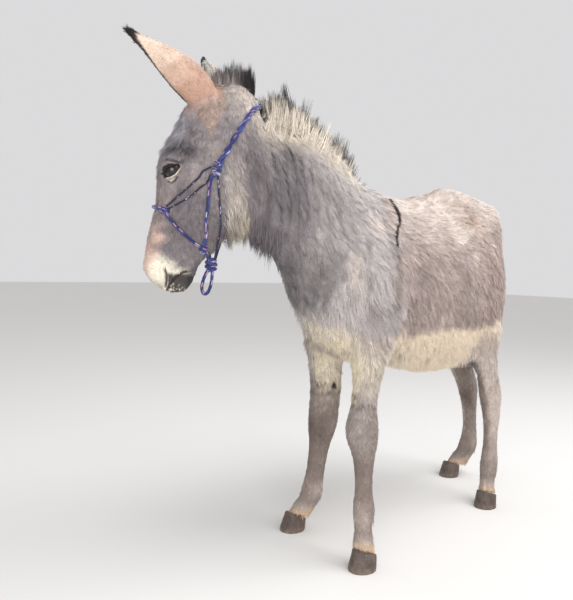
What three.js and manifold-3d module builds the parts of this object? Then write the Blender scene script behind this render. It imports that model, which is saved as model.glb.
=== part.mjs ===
// A standing life-size donkey wearing a rope halter, in millimetres.
// It faces -Y with its left side toward +X, and looks round to its right.
import * as THREE from 'three';
import Module from 'manifold-3d';

const wasm = await Module();
wasm.setup();

// Driving sizes
const gap = 0.3; // clearance between touching pieces
const bodyMelt = 60; // how softly the big masses run into each other
const headMelt = 26;
const poll = [-16.6, -313.7, 1162.3]; // top of the head, origin of head coordinates
const headAhead = [-0.695, -0.719, 0]; // level direction the nose points
const headLeft = [0.719, -0.695, 0];
const headAlong = [0.427, -0.904]; // (ahead, up) parts of the line from poll to lips
const headForward = [0.904, 0.427]; // (ahead, up) parts of the line out of the face
const eyeRadius = 20;
const eyeSpot = [219, 75]; // along, forward
const eyeDepth = 20; // centre of the ball under the coat
const lids = { long: 21, tall: 12.5, lean: 0.26 }; // half sizes of the opening and its turn
const ropeRadius = 4.2;
const cordRadius = 2.4;
const laid = 1.1; // how far a rope lies clear of the coat
const hoofTilt = 0.34; // slope of the coronet, radians
const tailRadius = 20;
const tailEnd = 640; // height where the long hair of the tail begins
const floorLevel = 14; // height of the soles in the working frame

// Colours and finishes
const looks = {
  coat: [0x9a8f88, 0.95],
  head: [0x938a85, 0.95],
  ear: [0xb79d88, 0.95],
  mane: [0x3d3431, 0.95],
  hoof: [0x3d3630, 0.7],
  eye: [0x1a1210, 0.08],
  rope: [0x2c3c86, 0.85],
  cord: [0x1b1c2c, 0.85],
};

// Vectors
const add = (a, b, k = 1) => a.map((v, i) => v + k * b[i]);
const dot = (a, b) => a[0] * b[0] + a[1] * b[1] + a[2] * b[2];
const cross = (a, b) => [
  a[1] * b[2] - a[2] * b[1],
  a[2] * b[0] - a[0] * b[2],
  a[0] * b[1] - a[1] * b[0],
];
const unit = (a) => a.map((v) => v / Math.hypot(...a));

// Head coordinates: along the face, out of the face and toward the left cheek.
function headPoint(along, forward, aside) {
  const ahead = along * headAlong[0] + forward * headForward[0];
  const up = along * headAlong[1] + forward * headForward[1];
  const level = add(add(poll, headAhead, ahead), headLeft, aside);
  return add(level, [0, 0, 1], up);
}

// Direction in the plane of the face, by its parts along and out of the face.
function headWay(along, forward) {
  return unit(add(headPoint(along, forward, 0), poll, -1));
}

// Smooth path through the rows of a table, u counts rows.
function pass(rows, u) {
  const i = Math.min(Math.floor(u), rows.length - 2);
  const f = u - i;
  const row = (k) => rows[Math.max(0, Math.min(rows.length - 1, k))];
  return row(i).map((b, c) => {
    const a = row(i - 1)[c];
    const d = row(i + 1)[c];
    const e = row(i + 2)[c];
    return b + 0.5 * f * (d - a + f * (2 * a - 5 * b + 4 * d - e + f * (3 * (b - d) + e - a)));
  });
}

// Flesh round a line: rows are x, y, z, half width across, and the reach on each other side.
function limb(rows, side, perRow = 4) {
  const count = (rows.length - 1) * perRow;
  const posts = Array.from({ length: count + 1 }, (_, k) => pass(rows, k / perRow));
  const bones = posts.slice(0, -1).map((a, k) => {
    const b = posts[k + 1];
    const run = [0, 1, 2].map((c) => b[c] - a[c]);
    const axis = unit(run);
    const up = unit(cross(side, axis));
    return { a, b, run, axis, up, side: unit(cross(axis, up)), size: dot(run, run) };
  });
  return (p) => {
    let best = Infinity;
    for (const bone of bones) {
      const { a, b, run } = bone;
      const q = [p[0] - a[0], p[1] - a[1], p[2] - a[2]];
      const f = Math.max(0, Math.min(1, dot(q, run) / bone.size));
      const d = [q[0] - f * run[0], q[1] - f * run[1], q[2] - f * run[2]];
      const v = dot(d, bone.up);
      const wide = a[3] + f * (b[3] - a[3]);
      const tall = v > 0 ? a[4] + f * (b[4] - a[4]) : a[5] + f * (b[5] - a[5]);
      const local = [dot(d, bone.side), v, dot(d, bone.axis)];
      best = Math.min(best, egg(local, wide, tall, Math.min(wide, tall)));
    }
    return best;
  };
}

// Distance outside an ellipsoid, near enough for blending.
function egg(q, a, b, c) {
  const near = Math.hypot(q[0] / a, q[1] / b, q[2] / c);
  const pull = Math.hypot(q[0] / (a * a), q[1] / (b * b), q[2] / (c * c));
  return pull < 1e-9 ? -Math.min(a, b, c) : (near * (near - 1)) / pull;
}

function bump(centre, axes, sizes) {
  return (p) => {
    const q = add(p, centre, -1);
    return egg(axes.map((axis) => dot(q, axis)), ...sizes);
  };
}

function melt(fields, softness) {
  return (p) => fields.reduce((sum, field) => {
    const value = field(p);
    if (sum === null) return value;
    const near = Math.max(softness - Math.abs(sum - value), 0) / softness;
    return Math.min(sum, value) - (near * near * softness) / 4;
  }, null);
}

// Closed mesh of the surface where a field is zero, inside a box, on a grid of cells.
function net(field, low, high, cell) {
  const size = low.map((v, c) => Math.ceil((high[c] - v) / cell[c]) + 1);
  const spot = (i, j, k) => (k * size[1] + j) * size[0] + i;
  const value = new Float32Array(size[0] * size[1] * size[2]);
  const atEdge = (i, j, k) => [i, j, k].some((v, c) => v === 0 || v === size[c] - 1);
  each(size, (i, j, k) => {
    const level = field([low[0] + i * cell[0], low[1] + j * cell[1], low[2] + k * cell[2]]);
    value[spot(i, j, k)] = atEdge(i, j, k) ? Math.max(level, 4) : level || 1e-4;
  });
  const corners = Array.from({ length: 8 }, (_, n) => [n & 1, (n >> 1) & 1, n >> 2]);
  const edges = [];
  for (let n = 0; n < 8; n += 1) {
    for (const bit of [1, 2, 4]) {
      if (!(n & bit)) edges.push([n, n | bit]);
    }
  }
  const points = [];
  const index = new Map();
  each(size.map((n) => n - 1), (i, j, k) => {
    const levels = corners.map((c) => value[spot(i + c[0], j + c[1], k + c[2])]);
    const middle = [0, 0, 0];
    let hits = 0;
    for (const [a, b] of edges) {
      if (levels[a] < 0 !== levels[b] < 0) {
        const f = levels[a] / (levels[a] - levels[b]);
        middle.forEach((_, c) => {
          middle[c] += corners[a][c] + f * (corners[b][c] - corners[a][c]);
        });
        hits += 1;
      }
    }
    if (!hits) return;
    index.set(spot(i, j, k), points.length / 3);
    points.push(...[i, j, k].map((v, c) => low[c] + (v + middle[c] / hits) * cell[c]));
  });
  const faces = [];
  const ways = [[1, 0, 0], [0, 1, 0], [0, 0, 1]];
  each(size.map((n) => n - 1), (i, j, k) => {
    ways.forEach((way, c) => {
      const here = [i, j, k];
      const s = (c + 1) % 3;
      const t = (c + 2) % 3;
      if (here[s] === 0 || here[t] === 0) return;
      const inside = value[spot(i, j, k)] < 0;
      const next = value[spot(i + way[0], j + way[1], k + way[2])] < 0;
      if (inside === next) return;
      const cellAt = (ds, dt) => {
        const at = [...here];
        at[s] -= ds;
        at[t] -= dt;
        return index.get(spot(...at));
      };
      const loop = [cellAt(1, 1), cellAt(0, 1), cellAt(0, 0), cellAt(1, 0)];
      if (next) loop.reverse();
      const at = (n) => points.slice(3 * n, 3 * n + 3);
      const across = (a, b) => Math.hypot(...add(at(a), at(b), -1));
      if (across(loop[0], loop[2]) > across(loop[1], loop[3])) loop.push(loop.shift());
      const [a, b, d, e] = loop;
      faces.push(a, b, d, a, d, e);
    });
  });
  return solid(points, faces);
}

function each(size, visit) {
  for (let k = 0; k < size[2]; k += 1) {
    for (let j = 0; j < size[1]; j += 1) {
      for (let i = 0; i < size[0]; i += 1) visit(i, j, k);
    }
  }
}

// Bodies for joining and cutting
function solid(points, faces) {
  const mesh = new wasm.Mesh({
    numProp: 3,
    vertProperties: Float32Array.from(points),
    triVerts: Uint32Array.from(faces),
  });
  return new wasm.Manifold(mesh);
}

// Closed loft through rings of points that all turn the same way.
function loft(rings) {
  const n = rings[0].length;
  const points = rings.flat(2);
  const faces = [];
  for (let r = 0; r < rings.length - 1; r += 1) {
    for (let k = 0; k < n; k += 1) {
      const a = r * n + k;
      const b = r * n + ((k + 1) % n);
      faces.push(a, b, b + n, a, b + n, a + n);
    }
  }
  const last = (rings.length - 1) * n;
  for (const start of [0, last]) {
    const ring = rings[start / n];
    const hub = points.length / 3;
    points.push(...ring.reduce((sum, p) => add(sum, p), [0, 0, 0]).map((v) => v / n));
    for (let k = 0; k < n; k += 1) {
      const a = start + k;
      const b = start + ((k + 1) % n);
      faces.push(...(start ? [a, b, hub] : [b, a, hub]));
    }
  }
  return solid(points, volume(points, faces) < 0 ? faces.reverse() : faces);
}

function volume(points, faces) {
  const at = (n) => points.slice(3 * n, 3 * n + 3);
  let sum = 0;
  for (let n = 0; n < faces.length; n += 3) {
    sum += dot(at(faces[n]), cross(at(faces[n + 1]), at(faces[n + 2]))) / 6;
  }
  return sum;
}

// Oval ring about a centre, first toward u, turning toward v.
function ring(centre, u, v, wide, tall, count) {
  return Array.from({ length: count }, (_, k) => {
    const turn = (2 * Math.PI * k) / count;
    return add(add(centre, u, wide * Math.cos(turn)), v, tall * Math.sin(turn));
  });
}

// Round rope along a smooth line of points.
function rope(line, radius, steps, sides = 5) {
  const curve = new THREE.CatmullRomCurve3(line.map((p) => new THREE.Vector3(...p)));
  let lean = null;
  const rings = Array.from({ length: steps + 1 }, (_, k) => {
    const axis = curve.getTangentAt(k / steps).toArray();
    const seed = lean || (Math.abs(axis[2]) < 0.8 ? [0, 0, 1] : [1, 0, 0]);
    const u = unit(add(seed, axis, -dot(seed, axis)));
    lean = u;
    return ring(curve.getPointAt(k / steps).toArray(), u, cross(axis, u), radius, radius, sides);
  });
  return loft(rings);
}

function ball(centre, axes, sizes, rows = 8, sides = 12) {
  const rings = [];
  for (let r = 1; r < rows; r += 1) {
    const turn = (Math.PI * r) / rows;
    const middle = add(centre, axes[2], -sizes[2] * Math.cos(turn));
    rings.push(ring(middle, axes[0], axes[1], sizes[0] * Math.sin(turn), sizes[1] * Math.sin(turn), sides));
  }
  return loft(rings);
}

// Everything on the far side of a plane and half the clearance on the near side, as a big block.
function beyond(point, normal, size = 3000) {
  const axis = unit(normal);
  const u = unit(cross(Math.abs(axis[2]) < 0.9 ? [0, 0, 1] : [1, 0, 0], axis));
  const v = cross(axis, u);
  const near = ring(add(point, axis, -gap / 2), u, v, size, size, 4);
  const far = ring(add(point, axis, size), u, v, size, size, 4);
  return loft([near, far]);
}

const flip = (normal) => normal.map((v) => -v);

// Flesh of the trunk: y, half width, top and bottom of the coat.
function trunkFlesh() {
  const stations = [
    [-48, 74, 850, 655],
    [-22, 108, 925, 596],
    [30, 138, 988, 556],
    [100, 152, 1008, 534],
    [200, 163, 997, 512],
    [310, 179, 993, 486],
    [420, 187, 1015, 462],
    [520, 180, 1064, 466],
    [595, 158, 1082, 515],
    [650, 128, 1072, 590],
    [690, 84, 1030, 650],
  ];
  const rows = stations.map(([y, wide, top, bottom]) => {
    const middle = bottom + 0.47 * (top - bottom);
    return [0, y, middle, wide, top - middle, middle - bottom];
  });
  return limb(rows, [1, 0, 0]);
}

// Points of the hips, high on each side of the rump.
function hipFlesh() {
  return [-80, 80].map((x) => bump([x, 634, 954], [[1, 0, 0], [0, 1, 0], [0, 0, 1]], [56, 68, 54]));
}

// Neck: y and z of its crest and of its throat line, half width, drift to the right.
function neckFlesh() {
  const stations = [
    [110, 962, -42, 640, 102, 0],
    [48, 1024, -101, 700, 92, 0],
    [-24, 1078, -160, 760, 81, 0],
    [-106, 1122, -211, 812, 73, -2],
    [-188, 1148, -246, 858, 67, -6],
    [-258, 1150, -284, 905, 61, -12],
  ];
  const rows = stations.map(([cy, cz, ty, tz, wide, drift]) => {
    const reach = Math.hypot(cy - ty, cz - tz) / 2;
    return [drift, (cy + ty) / 2, (cz + tz) / 2, wide, reach, reach];
  });
  return limb(rows, [1, 0, 0]);
}

// Legs: reach outward, backward and forward at each level, then where each leg passes.
const foreShape = [
  [58, 82, 74],
  [56, 80, 72],
  [52, 64, 60],
  [44, 47, 46],
  [34, 35, 34],
  [37, 37, 38],
  [44, 44, 46],
  [31, 32, 29],
  [22.5, 25, 22],
  [29, 33, 28],
  [22, 24, 22],
  [29, 33, 31],
  [31, 36, 36],
];
const hindShape = [
  [66, 95, 110],
  [66, 105, 120],
  [58, 90, 112],
  [47, 60, 80],
  [34, 40, 42],
  [31, 44, 36],
  [34, 46, 34],
  [27, 32, 26],
  [22, 26, 23],
  [29, 34, 28],
  [22, 26, 24],
  [29, 33, 31],
  [31, 36, 36],
];
const legPaths = {
  foreleg_left: [
    [88, 40, 800], [92, 48, 700], [94, 54, 610], [96, 44, 530], [102, 24, 448],
    [106, 16, 405], [108, 12, 356], [110, 18, 297], [116, 15, 215], [123, 10, 148],
    [133, -1, 104], [143, -11, 62], [148, -16, 20],
  ],
  foreleg_right: [
    [-86, 46, 800], [-92, 56, 700], [-95, 66, 610], [-98, 80, 530, 1.1], [-99, 90, 448, 1.35],
    [-102, 92, 392, 1.18], [-105, 90, 330, 0.97], [-107, 80, 268], [-111, 70, 190, 1.15],
    [-119, 64, 118, 1.1], [-129, 48, 84, 1.08], [-139, 32, 54, 1.1], [-147, 24, 20],
  ],
  hindleg_left: [
    [70, 584, 880], [76, 574, 790], [93, 585, 690], [113, 602, 590], [116, 630, 486],
    [110, 656, 428], [105, 684, 370], [103, 701, 300], [104, 700, 210], [108, 690, 136],
    [115, 673, 88], [122, 657, 52], [126, 646, 20],
  ],
  hindleg_right: [
    [-78, 610, 880], [-86, 626, 790], [-92, 660, 690], [-93, 716, 590, 1.05], [-91, 792, 478, 1.2],
    [-89, 834, 412, 1.1], [-86, 866, 350], [-88, 886, 282], [-91, 902, 200, 1.1],
    [-97, 906, 132, 1.1], [-107, 890, 88, 1.3], [-118, 855, 54, 1.1], [-127, 836, 20],
  ],
};

function legFlesh(name) {
  const shape = name.startsWith('fore') ? foreShape : hindShape;
  const rows = legPaths[name].map(([x, y, z, full = 1], level) => {
    const [wide, back, front] = shape[level];
    return [x, y, z, full * wide, full * back, full * front];
  });
  return limb(rows, [1, 0, 0]);
}

// Head: along the face, middle line, reach to the face, reach to the jaw, half width.
function headFlesh() {
  const stations = [
    [6, 22, 66, 58, 50],
    [45, 22, 84, 78, 68],
    [92, 28, 97, 103, 80],
    [140, 32, 93, 124, 84],
    [190, 34, 92, 144, 84],
    [240, 20, 84, 140, 75],
    [290, 2, 80, 112, 62],
    [335, -6, 78, 86, 53],
    [378, -6, 74, 66, 47],
    [412, -8, 60, 64, 48],
    [436, -12, 46, 54, 44],
  ];
  const rows = stations.map(([along, middle, face, jaw, wide]) => (
    [...headPoint(along, middle, 0), wide, jaw, face]
  ));
  const axes = [headLeft, headWay(1, 0), headWay(0, 1)];
  const pairs = [
    [208, 72, 60, 32, 42, 34], // rim of the eye socket
    [226, -50, 46, 34, 66, 60], // cheek
    [300, 44, 26, 26, 70, 26], // facial crest
    [428, 18, 30, 24, 34, 26], // nostril wing
  ];
  const bumps = pairs.flatMap(([along, forward, aside, wide, long, tall]) => [-1, 1].map((side) => (
    bump(headPoint(along, forward, side * aside), axes, [wide, long, tall])
  )));
  const chin = bump(headPoint(440, -48, 0), axes, [34, 28, 28]);
  return melt([limb(rows, headLeft), ...bumps, chin], headMelt);
}

// Meshes of the whole body, coarse on the trunk and finer toward the ends.
const headField = headFlesh();
const legFields = Object.fromEntries(Object.keys(legPaths).map((name) => [name, legFlesh(name)]));
const rump = melt([trunkFlesh(), neckFlesh(), ...hipFlesh(), ...Object.values(legFields)], bodyMelt);
const body = melt([rump, headField], headMelt);

// Planes that part the body
const neckCut = { point: [0, 66, 1010], normal: [0, 0.88, -0.46] };
const throatCut = { point: headPoint(150, -118, 0), normal: unit([-0.42, -0.88, 0.2]) };
const legTops = { foreleg_left: 590, foreleg_right: 590, hindleg_left: 600, hindleg_right: 600 };
const legRoot = 12; // how far past its own flesh a leg reaches into the body

// Trunk and neck are cut clear of the legs; neck and head part at the throat.
function makeTrunk() {
  const mesh = net(rump, [-222, -230, 425], [222, 870, 1100], [47, 54, 47]);
  const tops = Object.keys(legPaths).map((name) => legLoft(name, gap, 60));
  const tail = [makeTail(gap), makeTuft(gap)];
  return cut(mesh, [beyond(neckCut.point, flip(neckCut.normal)), ...tail, ...tops]);
}

function makeNeck() {
  const mesh = net(body, [-200, -400, 560], [200, 180, 1240], [38, 40, 40]);
  const ends = [beyond(neckCut.point, neckCut.normal), beyond(throatCut.point, throatCut.normal)];
  return cut(mesh, [...ends, makeMane(gap)]);
}

function makeHead() {
  const mesh = net(body, [-330, -590, 650], [140, -170, 1260], [22.5, 22.5, 24]);
  return cut(mesh, [beyond(throatCut.point, flip(throatCut.normal)), makeMane(gap), makeForelock(gap)]);
}

// Where a leg's path stands at one height.
function pathAt(name, z) {
  const path = legPaths[name];
  let low = 0;
  let high = path.length - 1;
  while (high - low > 0.01) {
    const middle = (low + high) / 2;
    if (pass(path, middle)[2] > z) low = middle;
    else high = middle;
  }
  return pass(path, low);
}

// Level rings down a leg; grown by a margin, and by more where they lie in the open.
function legLoft(name, margin = 0, clear = 0) {
  const levels = 20;
  const sides = 14;
  const side = Math.sign(legPaths[name][0][0]);
  const top = legTops[name];
  const rings = [];
  for (let level = 0; level <= levels; level += 1) {
    const z = top + margin - ((top - 26) * level) / levels;
    const [x, y] = pathAt(name, Math.min(z, top));
    const spokes = Array.from({ length: sides }, (_, k) => {
      const turn = (2 * Math.PI * (k + 0.5)) / sides;
      const way = [Math.cos(turn), Math.sin(turn), 0];
      const own = (r) => legFields[name](add([x, y, z], way, r)) > legRoot || (x + r * way[0]) * side < 1;
      let reach = 4;
      while (!own(reach) && rump(add([x, y, z], way, reach)) < 0) reach += 1;
      return add([x, y, z], way, reach + (own(reach) ? margin : clear));
    });
    rings.push(spokes);
  }
  return loft(rings);
}

function makeLeg(name) {
  return legLoft(name).subtract(beyond(coronet(name), flip(coronetNormal)));
}

function cut(whole, tools) {
  return tools.reduce((left, tool) => left.subtract(tool), whole);
}

// Hooves: a tilted plane at the hair line, a flat sole on the ground.
// Each level is a height, half width, half length and middle.
const coronetNormal = [0, -Math.sin(-hoofTilt), Math.cos(hoofTilt)];

function coronet(name) {
  const [x, y] = legPaths[name][11];
  return [x, y, 58];
}

function makeHoof(name) {
  const [x, y] = legPaths[name][12];
  const [, top] = legPaths[name][11];
  const levels = [
    [floorLevel, 35, 40, y - 4],
    [floorLevel + 8, 34.4, 39.4, y - 3],
    [50, 31.5, 35, y + 4],
    [92, 29, 31, top + 6],
  ];
  const out = [Math.sign(x), 0, 0];
  const rings = levels.map(([z, wide, long, middle]) => {
    const shift = add([x, middle, z], out, 2 * (1 - z / 50));
    return ring(shift, [1, 0, 0], [0, 1, 0], wide, long, 16);
  });
  return loft(rings).subtract(beyond(coronet(name), coronetNormal));
}

// Ears: along, how far ahead and up, aside, width, depth of the cup.
const earLeft = [
  [76, -46, 44, 54, 24], [84, -14, 50, 66, 30], [106, 18, 56, 80, 33], [137, 50, 60, 82, 30],
  [171, 77, 64, 66, 23], [207, 103, 67, 42, 15], [241, 126, 69, 20, 8], [264, 143, 70, 8, 4],
];
const earRight = [
  [76, -46, -42, 54, 24], [84, -8, -58, 66, 30], [92, 30, -84, 80, 33], [98, 68, -114, 82, 30],
  [106, 102, -146, 66, 23], [116, 132, -178, 42, 15], [126, 155, -206, 20, 8], [132, 170, -224, 8, 4],
];

// A cupped leaf: rings run round the back of the ear and return along the inside.
function makeEar(rows, opening, grow = 0) {
  const posts = rows.map(([ahead, up, aside]) => crownPoint(ahead, up, aside));
  const rings = rows.map(([, , , wide, deep], r) => {
    const axis = unit(add(posts[Math.min(r + 1, rows.length - 1)], posts[Math.max(r - 1, 0)], -1));
    const face = unit(add(opening, axis, -dot(opening, axis)));
    const across = cross(axis, face);
    const wall = Math.min(6, wide / 3) + 2 * grow;
    const turns = [-1.8, -1.35, -0.9, -0.45, 0, 0.45, 0.9, 1.35, 1.8];
    const arc = (radius, sink) => turns.map((turn) => add(
      add(posts[r], across, radius * Math.sin(turn)),
      face,
      sink - (deep + grow) * Math.cos(turn),
    ));
    const outer = arc(wide / 2 + grow, 0);
    const inner = arc(wide / 2 + grow - wall, wall).reverse();
    return [...outer, ...inner].map((p) => add(p, axis, r ? 0 : -grow));
  });
  return loft(rings);
}

// A point given by its reach ahead of the poll, above it and to its left.
function crownPoint(ahead, up, aside) {
  return add(add(add(poll, headAhead, ahead), headLeft, aside), [0, 0, 1], up);
}

// Mane: a standing brush along the crest, y, z of root and tip, half thickness of the root.
function makeMane(grow = 0) {
  const rows = [
    [-232, 1122, -250, 1176, 12], [-214, 1126, -238, 1216, 22], [-170, 1116, -200, 1216, 24],
    [-110, 1090, -132, 1192, 24], [-50, 1050, -64, 1164, 23], [10, 1004, 6, 1140, 20],
    [58, 976, 62, 1098, 15], [100, 966, 106, 1032, 8],
  ];
  const outline = [
    [1, 0], [0.8, 0.45], [0.35, 0.85], [0.1, 1], [-0.1, 1], [-0.35, 0.85], [-0.8, 0.45], [-1, 0],
  ];
  const rings = rows.map(([y, z, tipY, tipZ, half], r) => {
    const end = r === 0 ? -grow : grow * (r === rows.length - 1);
    const root = [-3, y + end, z - grow];
    const lift = [0, tipY - y, tipZ - z + 2 * grow];
    return outline.map(([aside, up]) => add(add(root, [1, 0, 0], aside * (half + grow)), lift, up));
  });
  return loft(rings);
}

// Forelock: a tuft fanning up between the ears; root ahead and up, tip ahead and up, half thickness.
function makeForelock(grow = 0) {
  const rows = [
    [70, -8, 84, 92, 13], [46, -8, 52, 104, 20], [20, -10, 22, 104, 23],
    [-4, -16, -6, 92, 21], [-22, -26, -26, 62, 14],
  ];
  const outline = [[1, 0], [0.85, 0.5], [0.3, 0.95], [-0.3, 0.95], [-0.85, 0.5], [-1, 0]];
  const rings = rows.map(([ahead, up, tipAhead, tipUp, half], r) => {
    const end = r === 0 ? grow : -grow * (r === rows.length - 1);
    return outline.map(([aside, f]) => crownPoint(
      ahead + end + f * (tipAhead - ahead),
      up - grow + f * (tipUp - up + 2 * grow),
      aside * (half + grow),
    ));
  });
  return loft(rings);
}

function makeTail(grow = 0) {
  const line = [
    [0, 700, 925], [0, 752, 922], [0, 792, 892], [0, 808, 826],
    [0, 812, 740], [0, 812, 690], [0, 812, tailEnd],
  ];
  const curve = new THREE.CatmullRomCurve3(line.map((p) => new THREE.Vector3(...p)));
  const steps = 10;
  const rings = Array.from({ length: steps + 1 }, (_, k) => {
    const axis = curve.getTangentAt(k / steps).toArray();
    const size = tailRadius + grow;
    const middle = curve.getPointAt(k / steps).toArray();
    return ring(middle, [1, 0, 0], cross(axis, [1, 0, 0]), size, 1.1 * size, 10);
  });
  return loft(rings).subtract(beyond([0, 812, tailEnd], [0, 0, -1]));
}

function makeTuft(grow = 0) {
  const levels = [
    [660, 20, 23], [620, 25, 27], [560, 30, 32], [500, 31, 31],
    [450, 25, 26], [410, 14, 15], [388, 4, 4],
  ];
  const rings = levels.map(([z, wide, deep]) => (
    ring([0, 812, z], [1, 0, 0], [0, -1, 0], wide + grow, deep + grow, 12)
  ));
  return loft(rings).subtract(beyond([0, 812, tailEnd], [0, 0, 1]));
}

// Where a rope lies on the cheek at one spot of the face.
function cheek(along, forward, side, lift) {
  let aside = 150;
  while (aside > 0 && body(headPoint(along, forward, side * aside)) > lift) aside -= 1;
  return headPoint(along, forward, side * aside);
}

// Halter ropes on each cheek, along and forward, running between the knots.
const cheekRuns = {
  cheek_rope: {
    path: [[170, -18], [198, -20], [226, -30], [255, -41], [285, -51], [313, -61], [342, -68]],
    radius: ropeRadius,
  },
  nose_cord_upper: {
    path: [[172, -8], [190, 5], [204, 5], [222, 12], [246, 23], [270, 34], [302, 49]],
    radius: cordRadius,
  },
  nose_cord_lower: {
    path: [[180, -16], [208, -15], [226, -6], [246, 2], [262, 12], [278, 24], [302, 42]],
    radius: cordRadius,
  },
  chin_rope: {
    path: [[308, 46], [318, 26], [328, 2], [336, -24], [342, -48], [345, -66]],
    radius: ropeRadius,
  },
};
const crownPath = [[166, -20], [140, -21], [115, -23], [85, -24], [48, -26], [14, -27]];
const nosePath = [[304, 45], [308, 62]];
const jawPath = [[345, -68], [354, -80]];
const throatPath = [[176, -26], [196, -38], [222, -53], [250, -70], [276, -82], [298, -86]];
const loopLine = [
  [76, -386, 5], [86, -408, 8], [92, -432, 8], [88, -450, 2], [78, -448, -4], [70, -424, -7], [68, -390, -5],
];

// Knots: along, forward, half width, half thickness, half length.
const knots = {
  upper_knot: [170, -21, 12, 12, 20],
  nose_knot: [305, 47, 13, 11, 10],
  side_knot: [345, -68, 11, 11, 12],
};
const chinKnot = { ahead: 71, up: -378, sizes: [16, 15, 19] };

function makeKnot(name, side, grow = 0) {
  const [along, forward, wide, thick, long] = knots[name];
  const centre = cheek(along, forward, side, 4);
  const down = headWay(1, -0.25);
  const out = unit(add(headLeft, down, -dot(headLeft, down)));
  return ball(centre, [cross(down, out), out, down], [wide, thick, long].map((v) => v + grow), 6, 9);
}

function makeChinKnot(side, grow = 0) {
  const middle = crownPoint(chinKnot.ahead, chinKnot.up, 0);
  return ball(middle, [headAhead, headLeft, [0, 0, 1]], chinKnot.sizes.map((v) => v + grow), 6, 9);
}

// Points along a path, each lifted so that a rope of one radius just clears the coat.
function laidLine(path, radius, side, count = 9) {
  return Array.from({ length: count }, (_, k) => {
    const [along, forward] = pass(path, (k / (count - 1)) * (path.length - 1));
    return cheek(along, forward, side, radius + laid);
  });
}

function makeCheekRun(name, side, grow = 0) {
  const { path, radius } = cheekRuns[name];
  return rope(laidLine(path, radius, side), radius + grow, 7);
}

// Ropes that leave the cheek and meet under the jaw at the chin knot.
function makeUnderRun(path, radius, shift, side, grow) {
  const end = crownPoint(chinKnot.ahead + shift, chinKnot.up + 4, side * 5);
  return rope([...laidLine(path, radius, side), end], radius + grow, 9);
}

// A rope over the top of the head or across the nose, the same on both sides.
function makeBridge(path, top, radius, steps, grow) {
  const half = (side) => laidLine(path, radius, side, path.length + 2);
  let reach = 20;
  while (body(headPoint(...top(reach))) < radius + laid) reach += 1;
  return rope([...half(1), headPoint(...top(reach)), ...half(-1).reverse()], radius + grow, steps);
}

// The loop a lead would tie to, hanging under the chin knot.
function makeLeadLoop(side, grow = 0) {
  return rope(loopLine.map((p) => crownPoint(...p)), ropeRadius + grow, 12);
}

function makeCrown(side, grow = 0) {
  return makeBridge(crownPath, (reach) => [-0.9 * reach, -30, 0], ropeRadius, 20, grow);
}

function makeNoseband(side, grow = 0) {
  return makeBridge(nosePath, (reach) => [310, reach, 0], 1.15 * ropeRadius, 10, grow);
}

// Halter pieces in the order they are laid; each is cut clear of those before it.
const halterMakers = {
  chin_knot: [makeChinKnot, 'rope', 1],
  upper_knot: [(side, grow) => makeKnot('upper_knot', side, grow), 'rope', 2],
  nose_knot: [(side, grow) => makeKnot('nose_knot', side, grow), 'rope', 2],
  side_knot: [(side, grow) => makeKnot('side_knot', side, grow), 'rope', 2],
  crown: [makeCrown, 'rope', 1],
  noseband: [makeNoseband, 'rope', 1],
  lead_loop: [makeLeadLoop, 'rope', 1],
  jaw_rope: [(side, grow) => makeUnderRun(jawPath, ropeRadius, 6, side, grow), 'rope', 2],
  throat_cord: [(side, grow) => makeUnderRun(throatPath, cordRadius, -7, side, grow), 'cord', 2],
  cheek_rope: [(side, grow) => makeCheekRun('cheek_rope', side, grow), 'rope', 2],
  chin_rope: [(side, grow) => makeCheekRun('chin_rope', side, grow), 'rope', 2],
  nose_cord_upper: [(side, grow) => makeCheekRun('nose_cord_upper', side, grow), 'cord', 2],
  nose_cord_lower: [(side, grow) => makeCheekRun('nose_cord_lower', side, grow), 'cord', 2],
};

const pieces = {};
const halter = []; // grown copies of the halter, to groove what lies under it

for (const [name, [make, look, sides]] of Object.entries(halterMakers)) {
  for (const [word, side] of [['_left', 1], ['_right', -1]].slice(0, sides)) {
    pieces[`halter_${name}${sides > 1 ? word : ''}`] = { body: cut(make(side, 0), halter), look };
    halter.push(make(side, gap));
  }
}

// Eyeball looking outward and a little ahead, set back under the coat.
function eyeFrame(side) {
  const look = unit(add(headLeft.map((v) => v * side), headAhead, 0.35));
  const long = headWay(1, lids.lean);
  const canthus = unit(add(long, look, -dot(long, look)));
  const surface = cheek(...eyeSpot, side, 0);
  return { look, canthus, brow: cross(look, canthus), centre: add(surface, look, -eyeDepth) };
}

function makeEye(side, grow = 0) {
  const { look, canthus, brow, centre } = eyeFrame(side);
  const size = eyeRadius + grow;
  return ball(centre, [canthus, brow, look], [size, size, size], 8, 12);
}

// The gap between the lids, from the ball outward; it widens a little toward the front.
function makeLidGap(side) {
  const { look, canthus, brow, centre } = eyeFrame(side);
  const steps = [[7, 0.8], [18, 1], [60, 1.1]];
  return loft(steps.map(([out, full]) => (
    ring(add(centre, look, out), canthus, brow, full * lids.long, full * lids.tall, 14)
  )));
}

const ears = {
  ear_left: (grow) => makeEar(earLeft, unit(add(flip(headLeft), headAhead, 0.5)), grow),
  ear_right: (grow) => makeEar(earRight, unit(add(headLeft, headAhead, 0.9)), grow),
};
const sockets = [1, -1].flatMap((side) => [makeEye(side, gap), makeLidGap(side)]);
const inHead = [...sockets, ears.ear_left(gap), ears.ear_right(gap), ...halter];

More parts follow.
